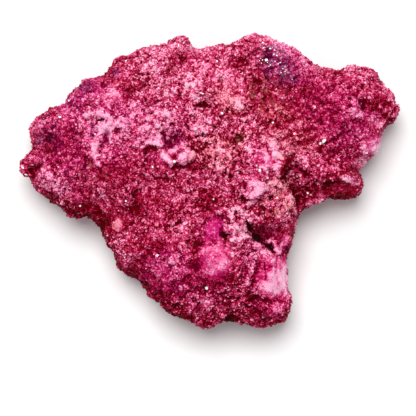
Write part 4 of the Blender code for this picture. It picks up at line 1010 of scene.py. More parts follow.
class Sheet:
    """Adds nodes to one tree: first their settings, then what their sockets hold or are linked to."""

    COLUMN = 180.0
    ROW = 220.0
    ROWS = 6
    # The sockets of a Mix node that mixes colours
    MIX_SHARE = 0
    MIX_FIRST = 6
    MIX_SECOND = 7
    MIX_RESULT = 2

    def __init__(self, tree: bpy.types.NodeTree) -> None:
        """Starts on a tree whose own nodes are cleared away."""
        self.tree = tree
        self.tree.nodes.clear()

    def node(self, kind: str, sockets: Mapping[Any, Any] | None = None, **settings: Any) -> bpy.types.Node:
        """Adds one node.

        Args:
            kind: Blender's name for its type.
            sockets: What each input, by name or number, holds or is linked to.
            settings: The node's own settings.

        Returns:
            The node.
        """
        column, row = divmod(len(self.tree.nodes), self.ROWS)
        node = self.tree.nodes.new(kind)
        node.location = (column * self.COLUMN, -row * self.ROW)
        for name, value in settings.items():
            setattr(node, name, value)
        for key, value in (sockets or {}).items():
            if isinstance(value, Wire):
                self.tree.links.new(value.socket, node.inputs[key])
            else:
                node.inputs[key].default_value = value
        return node

    def wire(
        self, kind: str, sockets: Mapping[Any, Any] | None = None, output: Any = 0, **settings: Any
    ) -> Wire:
        """Adds one node and returns one of its outputs.

        Args:
            kind: Blender's name for its type.
            sockets: What each input, by name or number, holds or is linked to.
            output: The output's name or number.
            settings: The node's own settings.

        Returns:
            That output.
        """
        return Wire(self, self.node(kind, sockets, **settings).outputs[output])

    def attribute(self, name: str) -> Wire:
        """The surface's own value with that name, in a material."""
        return self.wire("ShaderNodeAttribute", output="Fac", attribute_name=name)

    def noise(self, place: Wire, size: float, detail: float) -> Wire:
        """Noise from 0 to 1, in a material.

        Args:
            place: Where on the object.
            size: The size of its swells.
            detail: How many finer layers it has.

        Returns:
            The noise.
        """
        values = {"Vector": place, "Scale": 1.0 / (size * MM), "Detail": detail}
        return self.wire("ShaderNodeTexNoise", values, output="Fac")

    def ramp(self, position: Wire, stops: Mapping[float, Colour]) -> Wire:
        """A colour looked up on a ramp.

        Args:
            position: Where to look, from 0 to 1.
            stops: The colour at each place on the ramp.

        Returns:
            The colour.
        """
        node = self.node("ShaderNodeValToRGB", {"Fac": position})
        elements = node.color_ramp.elements
        while len(elements) < len(stops):
            elements.new(0.5)
        for element, (place, colour) in zip(elements, stops.items()):
            element.position = place
            element.color = colour
        return Wire(self, node.outputs["Color"])

    def mix(self, share: Any, first: Any, second: Any) -> Wire:
        """Two colours mixed.

        Args:
            share: How much of the second there is.
            first: A colour or a wire.
            second: A colour or a wire.

        Returns:
            The mixed colour.
        """
        values = {self.MIX_SHARE: share, self.MIX_FIRST: first, self.MIX_SECOND: second}
        return self.wire("ShaderNodeMix", values, output=self.MIX_RESULT, data_type="RGBA")


@dataclass(frozen=True)
class PlainFinish:
    """A finish of one colour."""

    name: str
    colour: Colour
    roughness: float

    def build(self) -> bpy.types.Material:
        """Makes the material.

        Returns:
            The material.
        """
        material = bpy.data.materials.new(self.name)
        material.use_nodes = True
        shader = material.node_tree.nodes["Principled BSDF"]
        shader.inputs["Base Color"].default_value = self.colour
        shader.inputs["Roughness"].default_value = self.roughness
        return material


@dataclass(frozen=True)
class DruseFinish:
    """The crust's colours, from the darkest hollow to the palest crest, which take in painted light and
    shade, with its stain colours and its gloss.
    """

    name: str
    roughness: float = 0.5
    powder_roughness: float = 0.7
    roughness_swing: float = 0.1
    gloss: float = 0.02
    gleam_roughness: float = 0.12
    coat_ior: float = 1.6
    speckle_size: float = 0.26
    speckle_tone: float = 0.48
    grain_size: float = 0.42
    grain_tone: float = 0.24
    grain_bias: float = 1.5
    grain_middle: float = 0.4
    # grain middles paler and the gaps between the grains darker: painted light and shade
    gap: Step = Step(0.35, 0.8)
    gap_light_and_shade: float = 0.24
    gap_middle: float = 0.4
    # pinholes darkened: painted shade
    pinhole_size: float = 0.85
    pinhole: Step = Step(0.62, 0.72)
    pinhole_shade: float = 0.18
    powder_calm: float = 0.6
    froth_keen: float = 0.35
    relief_size: float = 0.28
    relief_depth: float = 0.15
    bump: float = 0.4
    tone_stops: Mapping[float, Colour] = field(
        default_factory=lambda: {
            0.00: (0.10, 0.0, 0.002, 1.0),
            0.18: (0.26, 0.0, 0.009, 1.0),
            0.36: (0.43, 0.004, 0.047, 1.0),
            0.50: (0.58, 0.030, 0.130, 1.0),
            0.63: (0.73, 0.088, 0.245, 1.0),
            0.76: (0.86, 0.195, 0.390, 1.0),
            0.88: (0.94, 0.34, 0.56, 1.0),
            1.00: (0.97, 0.54, 0.70, 1.0),
        }
    )
    magenta_stops: Mapping[float, Colour] = field(
        default_factory=lambda: {
            0.00: (0.10, 0.0, 0.010, 1.0),
            0.25: (0.32, 0.0, 0.065, 1.0),
            0.55: (0.64, 0.018, 0.19, 1.0),
            1.00: (0.95, 0.38, 0.62, 1.0),
        }
    )
    violet_dark: Colour = (0.13, 0.0, 0.045, 1.0)
    violet_light: Colour = (0.52, 0.08, 0.28, 1.0)
    violet_rise: Step = Step(0.15, 0.75)
    peach: Colour = (0.92, 0.30, 0.30, 1.0)
    peach_rise: Step = Step(0.3, 0.8)
    ochre: Colour = (0.62, 0.31, 0.17, 1.0)
    ochre_size: float = 1.3
    ochre_specks: Step = Step(0.5, 0.62)
    # near-black painted shade for the deepest hollows
    soot: Colour = (0.020, 0.003, 0.004, 1.0)
    broken_dark: Colour = (0.20, 0.030, 0.045, 1.0)
    broken_light: Colour = (0.60, 0.20, 0.25, 1.0)
    broken_size: float = 5.0
    broken_blotches: Step = Step(0.36, 0.66)
    broken_share: float = 0.8

    def tone(self, sheet: Sheet, place: Wire, speckle: Wire, grains: bpy.types.Node) -> Wire:
        """How pale the surface is: the stone's own tone, a crystal's tint and the grain, with painted light
        on the grain middles and painted shade in the gaps between them and in pinholes.

        Args:
            sheet: The material's sheet.
            place: Where on the object.
            speckle: The finest speckle.
            grains: The node of the grains.

        Returns:
            The tone, from 0 to 1.
        """
        own = sheet.wire("ShaderNodeSeparateColor", {"Color": Wire(sheet, grains.outputs["Color"])})
        shaded_gaps = Wire(sheet, grains.outputs["Distance"]).above(self.gap)
        shaded_pinholes = sheet.noise(place, self.pinhole_size, detail=1.0).above(self.pinhole)
        grainy = sheet.attribute("tint") + speckle.swing(self.speckle_tone)
        grainy = grainy + (own**self.grain_bias - self.grain_middle) * (2.0 * self.grain_tone)
        # painted light on the grain middles and painted shade in the gaps between them
        grainy = grainy + (self.gap_middle - shaded_gaps) * self.gap_light_and_shade
        calm = sheet.attribute(Shade.POWDER.value) * self.powder_calm
        keen = 1.0 - calm + sheet.attribute(Shade.FROTH.value) * self.froth_keen
        # pinholes darkened as painted shade
        tone = sheet.attribute(Shade.TONE.value) + (grainy - shaded_pinholes * self.pinhole_shade) * keen
        return tone.clamped()

    def colour(self, sheet: Sheet, place: Wire, tone: Wire) -> Wire:
        """The colour of a tone, with the stain colours and the near-black painted shade of the deepest
        hollows laid over it one after the other.

        Args:
            sheet: The material's sheet.
            place: Where on the object.
            tone: How pale the surface is.

        Returns:
            The colour.
        """
        violet = sheet.mix(tone.above(self.violet_rise), self.violet_dark, self.violet_light)
        specks = sheet.noise(place, self.ochre_size, detail=3.0).above(self.ochre_specks)
        blotches = sheet.noise(place, self.broken_size, detail=6.0).above(self.broken_blotches)
        stains_and_shade = (
            (Shade.MAGENTA.value, 1.0, sheet.ramp(tone, self.magenta_stops)),
            (Shade.PEACH.value, tone.above(self.peach_rise), self.peach),
            (Shade.VIOLET.value, 1.0, violet),
            (Shade.OCHRE.value, specks, self.ochre),
            # near-black painted shade in the deepest hollows
            (Shade.HOLLOW_SHADE.value, 1.0, self.soot),
            ("broken", self.broken_share, sheet.mix(blotches, self.broken_dark, self.broken_light)),
        )
        colour = sheet.ramp(tone, self.tone_stops)
        for name, where, stain in stains_and_shade:
            colour = sheet.mix((sheet.attribute(name) * where).clamped(), colour, stain)
        return colour

    def build(self) -> bpy.types.Material:
        """Makes the material.

        Returns:
            The material.
        """
        material = bpy.data.materials.new(self.name)
        material.use_nodes = True
        sheet = Sheet(material.node_tree)
        place = sheet.wire("ShaderNodeTexCoord", output="Object")
        speckle = sheet.noise(place, self.speckle_size, detail=1.0)
        cells = {"Vector": place, "Scale": 1.0 / (self.grain_size * MM)}
        grains = sheet.node("ShaderNodeTexVoronoi", cells)
        tone = self.tone(sheet, place, speckle, grains)
        duller = sheet.attribute(Shade.POWDER.value) * (self.powder_roughness - self.roughness)
        roughness = self.roughness + duller + speckle.swing(self.roughness_swing)
        relief = sheet.noise(place, self.relief_size, detail=2.0) - Wire(sheet, grains.outputs["Distance"])
        bump = {"Strength": self.bump, "Distance": self.relief_depth * MM, "Height": relief}
        shader = {
            "Base Color": self.colour(sheet, place, tone),
            "Roughness": roughness.clamped(),
            "Normal": sheet.wire("ShaderNodeBump", bump),
            "Specular IOR Level": self.gloss,
            "Coat Weight": sheet.attribute("gleam"),
            "Coat Roughness": self.gleam_roughness,
            "Coat IOR": self.coat_ior,
        }
        surface = sheet.wire("ShaderNodeBsdfPrincipled", shader)
        sheet.node("ShaderNodeOutputMaterial", {"Surface": surface})
        return material


DRUSE = DruseFinish("druse")
GLASS = DruseFinish("glass", gleam_roughness=0.05, coat_ior=2.3)
# near-white glossy plates that stand in for glints: painted highlights
GLINT_FINISH = PlainFinish("glint", (0.95, 0.86, 0.90, 1.0), roughness=0.2)
FLOOR = PlainFinish("pale_floor", (0.93, 0.93, 0.93, 1.0), roughness=0.9)


@dataclass(frozen=True)
class Froth:
    """The small holes of the frothy crust."""

    cells: Cells = Cells(1.35, shift=29.0)
    hole: Step = Step(0.44, 0.16)
    bend: Swells = Swells(1.6, 2, shift=8.0)
    bent: float = 0.35
    everywhere: float = 0.3

    def at(self, marks: Marks) -> np.ndarray:
        """How deep in a hole each point lies.

        Args:
            marks: The marks at the points.

        Returns:
            One value for each point: 1 at the bottom of a hole, 0 on the walls between them.
        """
        bent = marks.points + self.bent * self.bend.at(marks.points)[:, None]
        share = np.clip(self.everywhere + marks.patched(Shade.FROTH), 0.0, 1.0)
        return share * self.hole.at(self.cells.at(bent))


@dataclass(frozen=True)
class Relief:
    """What pushes the stone's surface in and out."""

    nodules: Cells = Cells(1.9, shift=3.0)
    nodule_radius: float = 0.62
    nodule_middle: float = 0.55
    nodule_height: float = 0.40
    grit: Swells = Swells(1.1, 3, shift=21.0)
    grit_height: float = 0.24
    pits: Cells = Cells(2.3, shift=14.0)
    pit_hole: Step = Step(0.34, 0.16)
    pit_places: Swells = Swells(5.0, 2, shift=40.0)
    pit_share: Step = Step(-0.1, 0.25)
    pit_depth: float = 0.7
    froth: Froth = Froth()
    froth_depth: float = 1.0
    open_side: Step = Step(-0.5, 0.1)
    hidden_share: float = 0.35
    powder_smooth: float = 0.75
    face_side: Step = Step(0.0, 0.5)
    form_flank: float = 2.6
    underside: Step = Step(-0.6, -0.9)
    hollows: Swells = Swells(6.0, 4, shift=60.0)
    hollow_depth: float = 0.9

    def crusty(self, marks: Marks) -> np.ndarray:
        """The height of the nodules, the grit, the pits and the froth.

        Args:
            marks: The marks at the points.

        Returns:
            One height for each point.
        """
        points = marks.points
        near = self.nodules.at(points) / self.nodule_radius
        dome = np.sqrt(np.clip(1.0 - near**2, 0.0, 1.0))
        push = self.nodule_height * (dome - self.nodule_middle)
        push += self.grit_height * self.grit.at(points)
        some = self.pit_share.at(self.pit_places.at(points))
        push -= self.pit_depth * some * self.pit_hole.at(self.pits.at(points))
        push -= self.froth_depth * self.froth.at(marks)
        return push

    def apply(self, skin: Skin) -> None:
        """Pushes the surface in and out, and keeps it above what the stone lies on.

        Args:
            skin: The stone's surface.
        """
        normals = skin.normals
        marks = Marks(skin.points)
        powder = np.clip(marks.patched(Shade.POWDER), 0.0, 1.0)
        facing = self.open_side.at(normals[:, 2])
        push = self.crusty(marks)
        push *= self.hidden_share + (1.0 - self.hidden_share) * facing
        push *= 1.0 - self.powder_smooth * powder
        upward = self.face_side.at(normals[:, 2])
        for form in FORMS.values():
            push += upward * form.height * np.exp(-(form.reach(marks.plan) ** self.form_flank))
        push += upward * marks.stranded(lambda strand: strand.height)
        under = self.underside.at(normals[:, 2])
        push -= under * self.hollow_depth * (0.5 + 0.5 * self.hollows.at(skin.points))
        skin.points = skin.points + push[:, None] * normals
        skin.points[:, 2] = np.maximum(skin.points[:, 2], 0.0)
        skin.write()


@dataclass(frozen=True)
class Dressing:
    """What the finish and the crystals need to know of each point of the stone."""

    crest_rounds: int = 16
    crest_height: float = 0.30
    swell_rounds: int = 90
    swell_height: float = 0.8
    facing_rounds: int = 60
    base_tone: float = 0.42
    clouds: Swells = Swells(9.0, 3, shift=5.0)
    cloud_tone: float = 0.16
    # swells paler and broad hollows darker: partly the crust's own tone, partly painted light and shade
    swell_tone: float = 0.10
    flecks: Swells = Swells(1.6, 3, shift=33.0)
    fleck_tone: float = 0.19
    # crests paler and hollows darker: partly the crust's own tone, partly painted light and shade
    crest_tone: float = 0.18
    # froth holes darkened: painted shade
    painted_froth_shade: float = 0.22
    # walls that face sideways are darkened: painted shade
    walls: Step = Step(0.75, 0.15)
    painted_wall_shade: float = 0.20
    powder_calm: float = 0.7
    broken_side: Step = Step(-0.45, -0.8)
    broken_level: Step = Step(4.0, 1.5)
    broken_swells: Swells = Swells(3.0, 3, shift=71.0)
    broken_least: float = 0.75
    hole_crest: Step = Step(-0.25, -0.8)
    powder_bare: float = 0.85
    hole_bare: float = 0.75
    glassy_bare: float = 0.7
    sizes: Swells = Swells(7.0, 2, shift=50.0)
    size_step: Step = Step(-0.3, 0.4)
    least_size: float = 0.85
    more_size: float = 0.3
    powder_size: float = 0.35
    # the stone under the crystals is darker, which paints shade into the gaps between them
    bed_tint: float = -0.10

    def apply(self, skin: Skin, froth: Froth) -> None:
        """Keeps the attributes on the stone.

        Args:
            skin: The stone's surface.
            froth: The holes of the frothy crust.
        """
        points = skin.points
        normals = skin.normals
        marks = Marks(points)
        masks = {shade: marks.patched(shade) for shade in Shade}
        crest = skin.proud(self.crest_rounds, self.crest_height)
        frothy = froth.at(marks)
        powder = np.clip(masks[Shade.POWDER], 0.0, 1.0)
        masks[Shade.TONE] += self.tone(skin, crest, powder)
        # threads paler, and slits darkened as painted shade
        masks[Shade.TONE] += marks.stranded(lambda strand: strand.tone)
        # froth holes darkened as painted shade
        masks[Shade.TONE] -= self.painted_froth_shade * frothy
        broken = self.broken_side.at(normals[:, 2]) * self.broken_level.at(points[:, 2])
        for shade, mask in masks.items():
            whole = mask if shade is Shade.TONE else np.clip(mask, 0.0, 1.0) * (1.0 - broken)
            skin.store(shade.value, whole)
        worn = self.broken_least + (1.0 - self.broken_least) * self.broken_swells.at(points)
        skin.store("broken", broken * worn)
        holes = np.maximum(self.hole_crest.at(crest), frothy)
        glassy = np.clip(masks[Shade.GLASSY], 0.0, 1.0) * (1.0 - broken)
        cover = (1.0 - broken) * (1.0 - self.powder_bare * powder)
        cover = cover * (1.0 - self.hole_bare * holes) * (1.0 - self.glassy_bare * glassy)
        skin.store(Cover.SUGAR.value, cover)
        skin.store(Cover.GLASSY.value, glassy)
        larger = self.more_size * self.size_step.at(self.sizes.at(points))
        skin.store("grain_scale", self.least_size + larger - self.powder_size * powder)
        # the bed's darker tint paints shade between the crystals
        skin.store("tint", np.full(len(points), self.bed_tint))

    def tone(self, skin: Skin, crest: np.ndarray, powder: np.ndarray) -> np.ndarray:
        """The tone that follows the relief and the clouds: paler crests and darker hollows, partly the
        crust's own tone and partly painted light and shade, and walls darkened as painted shade.

        Args:
            skin: The stone's surface.
            crest: How far each point is on a crest.
            powder: How powdery its skin is.

        Returns:
            One value for each point.
        """
        # crests and swells paler, hollows darker: partly the crust's own tone, partly painted light and
        # shade
        swell = skin.proud(self.swell_rounds, self.swell_height)
        tone = self.base_tone + self.cloud_tone * self.clouds.at(skin.points) + self.swell_tone * swell
        fine = self.fleck_tone * self.flecks.at(skin.points) + self.crest_tone * crest
        tone += (1.0 - self.powder_calm * powder) * fine
        # walls darkened as painted shade
        facing = skin.relaxed(skin.normals, self.facing_rounds)[:, 2]
        return tone - self.painted_wall_shade * self.walls.at(facing)


@dataclass
class Stone:
    """The mass of the specimen: a fine, rough copy of the plain solid.

    Attributes:
        name: The piece's name.
        doubles: How close two points of the plain solid are to be one.
        grid: The width of the fine grid.
        melt_rounds: How often the plain solid's facets are smoothed away.
        most_triangles: How many triangles it may have.
        relief: What pushes its surface in and out.
        dressing: What it tells the finish and the crystals.
    """

    name: str = "druse_mass"
    doubles: float = 0.002
    grid: float = 0.31
    melt_rounds: int = 9
    most_triangles: int = 190_000
    relief: Relief = Relief()
    dressing: Dressing = Dressing()

    def build(self, finish: bpy.types.Material) -> bpy.types.Object:
        """Makes the stone.

        Args:
            finish: The material of its surface.

        Returns:
            The stone, which replaces the plain solid.
        """
        stone = self.even_copy()
        skin = Skin(stone.data)
        skin.points = skin.relaxed(skin.points, self.melt_rounds)
        skin.write()
        self.relief.apply(skin)
        stone.data.calc_loop_triangles()
        fewer = stone.modifiers.new("fewer faces", "DECIMATE")
        fewer.ratio = min(1.0, self.most_triangles / len(stone.data.loop_triangles))
        stone = plain_mesh(stone, self.name)
        self.dressing.apply(Skin(stone.data), self.relief.froth)
        stone.data.materials.clear()
        stone.data.materials.append(finish)
        stone.data.shade_smooth()
        return stone

    def even_copy(self) -> bpy.types.Object:
        """The plain solid's shape on an even fine grid.

        Returns:
            The new object.
        """
        merged = bmesh.new()
        merged.from_mesh(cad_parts[NODE].data)
        bmesh.ops.remove_doubles(merged, verts=merged.verts, dist=self.doubles * MM)
        mesh = bpy.data.meshes.new("even grid")
        merged.to_mesh(mesh)
        merged.free()
        even = bpy.data.objects.new("even grid", mesh)
        bpy.context.scene.collection.objects.link(even)
        remesh = even.modifiers.new("grid", "REMESH")
        remesh.mode = "VOXEL"
        remesh.voxel_size = self.grid * MM
        return plain_mesh(even, self.name)


def plain_mesh(obj: bpy.types.Object, name: str) -> bpy.types.Object:
    """A plain mesh object in place of one with modifiers.

    Args:
        obj: The object, which is removed.
        name: The new object's name.

    Returns:
        The new object.
    """
    bpy.context.view_layer.update()
    graph = bpy.context.evaluated_depsgraph_get()
    mesh = bpy.data.meshes.new_from_object(obj.evaluated_get(graph))
    bpy.data.objects.remove(obj)
    mesh.name = name
    made = bpy.data.objects.new(name, mesh)
    bpy.context.scene.collection.objects.link(made)
    return made


@dataclass(frozen=True)
class Layer:
    """One layer of crystals.

    Attributes:
        name: The piece's name.
        spacing: The least distance between two crystals.
        smallest: The edge of the smallest crystal.
        largest: The edge of the largest.
        seed: Picks their places.
        cover: Where they grow.
        flattest: The height of the flattest crystal as a share of a cube's.
        steepest: The height of the steepest.
        sink: How deep a crystal's middle lies, as a share of its edge.
        tint: How far a crystal's tone may differ either way.
        lift: How much paler the crystals are than the stone.
        gleaming: The share of them with a gleaming face.
        tilt: How far a crystal may lean, in degrees.
        habit: Its form.
    """

    name: str
    spacing: float
    smallest: float
    largest: float
    seed: int
    cover: Cover = Cover.SUGAR
    flattest: float = 0.7
    steepest: float = 1.3
    sink: float = 0.1
    tint: float = 0.28
    lift: float = 0.04
    gleaming: float = 0.08
    tilt: float = 38.0
    habit: Habit = Habit.RHOMB


LAYERS: tuple[Layer, ...] = (
    Layer("sugar_coarse", 0.95, 0.32, 0.62, seed=3),
    Layer("sugar_medium", 0.66, 0.24, 0.46, seed=5),
    Layer("sugar_small", 0.42, 0.26, 0.44, seed=8, sink=0.15, habit=Habit.CORNER),
    Layer("sugar_fine", 0.37, 0.22, 0.38, seed=13, sink=0.05, habit=Habit.CORNER),
    Layer("sugar_dust", 0.37, 0.18, 0.34, seed=21, sink=0.0, habit=Habit.CORNER),
    Layer("violet_glass", 0.55, 0.3, 0.75, seed=34, cover=Cover.GLASSY, gleaming=0.5, tilt=70.0),
)


class Crystals:
    """Rhombohedral crystals strewn over the stone by one Geometry Nodes tree."""

    SIZES = ("Spacing", "Density", "Smallest", "Largest", "Flattest", "Steepest")
    WAYS = ("Sink", "Tilt", "Tint", "Lift", "Gleaming")
    INPUTS: Mapping[str, str] = {
        "Stone": "NodeSocketGeometry",
        **dict.fromkeys(SIZES + WAYS, "NodeSocketFloat"),
        "Corners": "NodeSocketBool",
        "Cover": "NodeSocketString",
        "Seed": "NodeSocketInt",
        "Finish": "NodeSocketMaterial",
    }
    CUBE_ON_CORNER = (math.radians(45.0), -math.atan(math.sqrt(0.5)), 0.0)
    CORNER_SIDES = 3
    CORNER_RADIUS = math.sqrt(2.0 / 3.0)
    CORNER_HEIGHT = math.sqrt(1.0 / 3.0)
    CROWDING = 4.0
    SMALL_BIAS = 2.0
    # The sockets of a Random Value node that draws a float
    DRAW_LOW = 2
    DRAW_HIGH = 3
    DRAW_RESULT = 1

    def __init__(self) -> None:
        """Makes the tree."""
        self.tree = bpy.data.node_groups.new("crystals", "GeometryNodeTree")
        self.sockets: dict[str, str] = {}
        for name, kind in self.INPUTS.items():
            item = self.tree.interface.new_socket(name, in_out="INPUT", socket_type=kind)
            self.sockets[name] = item.identifier
        self.tree.interface.new_socket("Crystals", in_out="OUTPUT", socket_type="NodeSocketGeometry")
        sheet = Sheet(self.tree)
        group = sheet.node("NodeGroupInput")
        self.given = {name: Wire(sheet, group.outputs[name]) for name in self.INPUTS}
        crystals = self.strewn(sheet)
        real = sheet.wire("GeometryNodeRealizeInstances", {"Geometry": crystals})
        told = {"Geometry": real, "Material": self.given["Finish"]}
        sheet.node("NodeGroupOutput", {"Crystals": sheet.wire("GeometryNodeSetMaterial", told)})

    def drawn(self, sheet: Sheet, draw: Draw, low: Any, high: Any) -> Wire:
        """A random value for each crystal.

        Args:
            sheet: The tree's sheet.
            draw: What it decides.
            low: The least value.
            high: The greatest value.

        Returns:
            The value.
        """
        values = {self.DRAW_LOW: low, self.DRAW_HIGH: high, "Seed": self.given["Seed"] + draw.value}
        return sheet.wire("FunctionNodeRandomValue", values, output=self.DRAW_RESULT, data_type="FLOAT")

    def strewn(self, sheet: Sheet) -> Wire:
        """A crystal of its own size, lean and tint on each of the points strewn over the stone.

        Args:
            sheet: The tree's sheet.

        Returns:
            The crystals, as instances.
        """
        given = self.given
        cover = sheet.wire("GeometryNodeInputNamedAttribute", {"Name": given["Cover"]}, data_type="FLOAT")
        strewn = sheet.node(
            "GeometryNodeDistributePointsOnFaces",
            {
                "Mesh": given["Stone"],
                "Distance Min": given["Spacing"],
                "Density Max": given["Density"],
                "Density Factor": cover,
                "Seed": given["Seed"],
            },
            distribute_method="POISSON",
        )
        points = Wire(sheet, strewn.outputs["Points"])
        normal = Wire(sheet, strewn.outputs["Normal"])
        upright = Wire(sheet, strewn.outputs["Rotation"])
        scale = sheet.wire("GeometryNodeInputNamedAttribute", {"Name": "grain_scale"}, data_type="FLOAT")
        chance = self.drawn(sheet, Draw.SIZE, 0.0, 1.0)
        larger = (given["Largest"] - given["Smallest"]) * chance**self.SMALL_BIAS
        size = (given["Smallest"] + larger) * scale
        height = size * self.drawn(sheet, Draw.HEIGHT, given["Flattest"], given["Steepest"])
        sizes = sheet.wire("ShaderNodeCombineXYZ", {"X": size, "Y": size, "Z": height})
        tint = given["Lift"] + self.drawn(sheet, Draw.TINT, -given["Tint"], given["Tint"])
        gleam = self.drawn(sheet, Draw.GLEAM, 0.0, 1.0).less_than(given["Gleaming"])
        for name, value in {"tint": tint, "gleam": gleam}.items():
            told = {"Geometry": points, "Name": name, "Value": value}
            points = sheet.wire("GeometryNodeStoreNamedAttribute", told, data_type="FLOAT", domain="POINT")
        sunk = {0: normal, "Scale": -(size * given["Sink"])}
        down = sheet.wire("ShaderNodeVectorMath", sunk, operation="SCALE")
        points = sheet.wire("GeometryNodeSetPosition", {"Geometry": points, "Offset": down})
        lean_x = self.drawn(sheet, Draw.LEAN_X, -given["Tilt"], given["Tilt"])
        lean_y = self.drawn(sheet, Draw.LEAN_Y, -given["Tilt"], given["Tilt"])
        spin = self.drawn(sheet, Draw.SPIN, 0.0, math.tau)
        lean = sheet.wire("ShaderNodeCombineXYZ", {"X": lean_x, "Y": lean_y, "Z": spin})
        turns = {"Rotation": upright, "Rotate By": sheet.wire("FunctionNodeEulerToRotation", {0: lean})}
        turned = sheet.wire("FunctionNodeRotateRotation", turns, rotation_space="LOCAL")
        crystal = self.crystal(sheet)
        placed = {"Points": points, "Instance": crystal, "Rotation": turned, "Scale": sizes}
        return sheet.wire("GeometryNodeInstanceOnPoints", placed)

    def crystal(self, sheet: Sheet) -> Wire:
        """One crystal: a cube that stands on its corner, or only the upper corner of one.

        Args:
            sheet: The tree's sheet.

        Returns:
            The crystal's mesh.
        """
        cube = sheet.wire("GeometryNodeMeshCube", output="Mesh")
        rhomb = sheet.wire("GeometryNodeTransform", {"Geometry": cube, "Rotation": self.CUBE_ON_CORNER})
        sizes = {
            "Vertices": self.CORNER_SIDES,
            "Radius Bottom": self.CORNER_RADIUS,
            "Depth": self.CORNER_HEIGHT,
        }
        corner = sheet.wire("GeometryNodeMeshCone", sizes, output="Mesh")
        forms = {"Switch": self.given["Corners"], "False": rhomb, "True": corner}
        return sheet.wire("GeometryNodeSwitch", forms, input_type="GEOMETRY")

    def grow(self, layer: Layer, stone: bpy.types.Object, finish: bpy.types.Material) -> bpy.types.Object:
        """Makes one layer of crystals as a plain mesh.

        Args:
            layer: The layer.
            stone: What they grow on.
            finish: Their material.

        Returns:
            The new object.
        """
        bed = bpy.data.objects.new(layer.name + "_bed", stone.data)
        bpy.context.scene.collection.objects.link(bed)
        modifier = bed.modifiers.new("crystals", "NODES")
        modifier.node_group = self.tree
        values: dict[str, Any] = {
            "Spacing": layer.spacing * MM,
            "Density": self.CROWDING / (layer.spacing * MM) ** 2,
            "Smallest": layer.smallest * MM,
            "Largest": layer.largest * MM,
            "Flattest": layer.flattest,
            "Steepest": layer.steepest,
            "Sink": layer.sink,
            "Tilt": math.radians(layer.tilt),
            "Tint": layer.tint,
            "Lift": layer.lift,
            "Gleaming": layer.gleaming,
            "Corners": layer.habit is Habit.CORNER,
            "Cover": layer.cover.value,
            "Seed": layer.seed,
            "Finish": finish,
        }
        for name, value in values.items():
            modifier[self.sockets[name]] = value
        return plain_mesh(bed, layer.name)


@dataclass(frozen=True)
class Glint:
    """A near-white plate that lies on the face, turned mostly upwards, as a painted glint.

    Attributes:
        x: Middle, to the right.
        y: Middle, upwards in the picture.
        length: Its length.
        width: Its width.
        turn: Anticlockwise turn, in degrees.
    """

    x: float
    y: float
    length: float
    width: float
    turn: float


# Each painted glint's x, y, length, width and turn
GLINTS: tuple[Glint, ...] = tuple(Glint(*row) for row in (
    # painted glints over the face
    (1.7, 27.1, 0.7, 0.5, 30), (-18.7, 27.1, 0.5, 0.4, 0), (-31.5, 18.2, 0.6, 0.5, 20),
    (-33.6, 14.5, 0.9, 0.6, 10), (25.8, 9.2, 1.4, 0.8, 20), (24.9, 8.6, 0.8, 0.6, -30),
    (-0.5, -23.9, 0.9, 0.8, 45), (-7.9, 4.5, 0.9, 0.8, 30), (14.3, 13.2, 0.6, 0.5, 0),
    (2.9, 15.4, 0.8, 0.6, 60), (11.4, 2.6, 1.0, 0.7, 10), (-18.7, -4.3, 0.6, 0.5, 0),
    (-29.0, -5.4, 0.6, 0.5, 50), (-22.8, -12.0, 0.5, 0.5, 0), (-12.7, 3.3, 0.6, 0.5, 0),
    (-19.0, -16.9, 0.6, 0.4, -40), (22.2, -2.5, 0.7, 0.5, 20), (-25.7, 10.7, 0.5, 0.4, 0),
    (-1.7, 19.9, 1.5, 0.35, -62), (-2.4, 18.8, 0.8, 0.3, -30), (-41.9, 3.2, 1.1, 0.4, 75),
    (-41.2, 1.6, 0.9, 0.35, 100), (-6.9, 30.6, 0.9, 0.3, 60), (-5.8, 31.2, 0.7, 0.3, -50),
    (1.0, -3.9, 0.5, 0.4, 0), (15.2, -3.6, 0.6, 0.5, 15),
    # painted glints of the sparkling cluster
    (12.1, 31.2, 0.63, 0.38, -30), (12.7, 30.9, 0.49, 0.29, -45), (12.2, 30.0, 0.67, 0.29, 5),
    (12.4, 29.6, 0.29, 0.22, 0), (13.6, 30.4, 0.34, 0.34, 0), (13.7, 29.9, 0.63, 0.43, 10),
    (14.2, 30.2, 0.25, 0.22, 0), (14.8, 30.6, 0.63, 0.34, 80), (14.7, 29.6, 0.54, 0.31, 80),
    (15.4, 29.3, 0.34, 0.22, 0), (15.2, 29.0, 0.34, 0.2, 50), (14.6, 28.5, 0.63, 0.47, 0),
    (15.2, 28.3, 0.58, 0.34, -45), (16.0, 27.9, 0.25, 0.2, 0), (10.8, 28.1, 0.34, 0.2, 70),
    (11.5, 27.7, 0.25, 0.22, 0), (11.3, 27.2, 0.31, 0.2, 60), (12.0, 27.3, 0.38, 0.29, 0),
    (11.8, 26.6, 0.45, 0.2, 80), (13.1, 26.7, 0.4, 0.2, -60), (13.5, 27.0, 0.34, 0.2, 60),
    (14.1, 27.0, 0.45, 0.38, 0), (14.8, 27.0, 0.45, 0.2, -40), (15.4, 26.5, 0.58, 0.29, -35),
    (15.9, 26.8, 0.58, 0.29, -45), (13.7, 26.2, 0.4, 0.34, 0), (13.4, 25.9, 0.29, 0.2, 30),
    (16.5, 25.4, 0.45, 0.27, 80), (17.0, 24.8, 0.4, 0.34, 0), (16.1, 24.5, 0.45, 0.34, 0),
    (14.8, 24.8, 0.29, 0.18, 0), (18.6, 23.0, 0.4, 0.22, 0), (15.1, 20.9, 0.36, 0.25, 80),
))


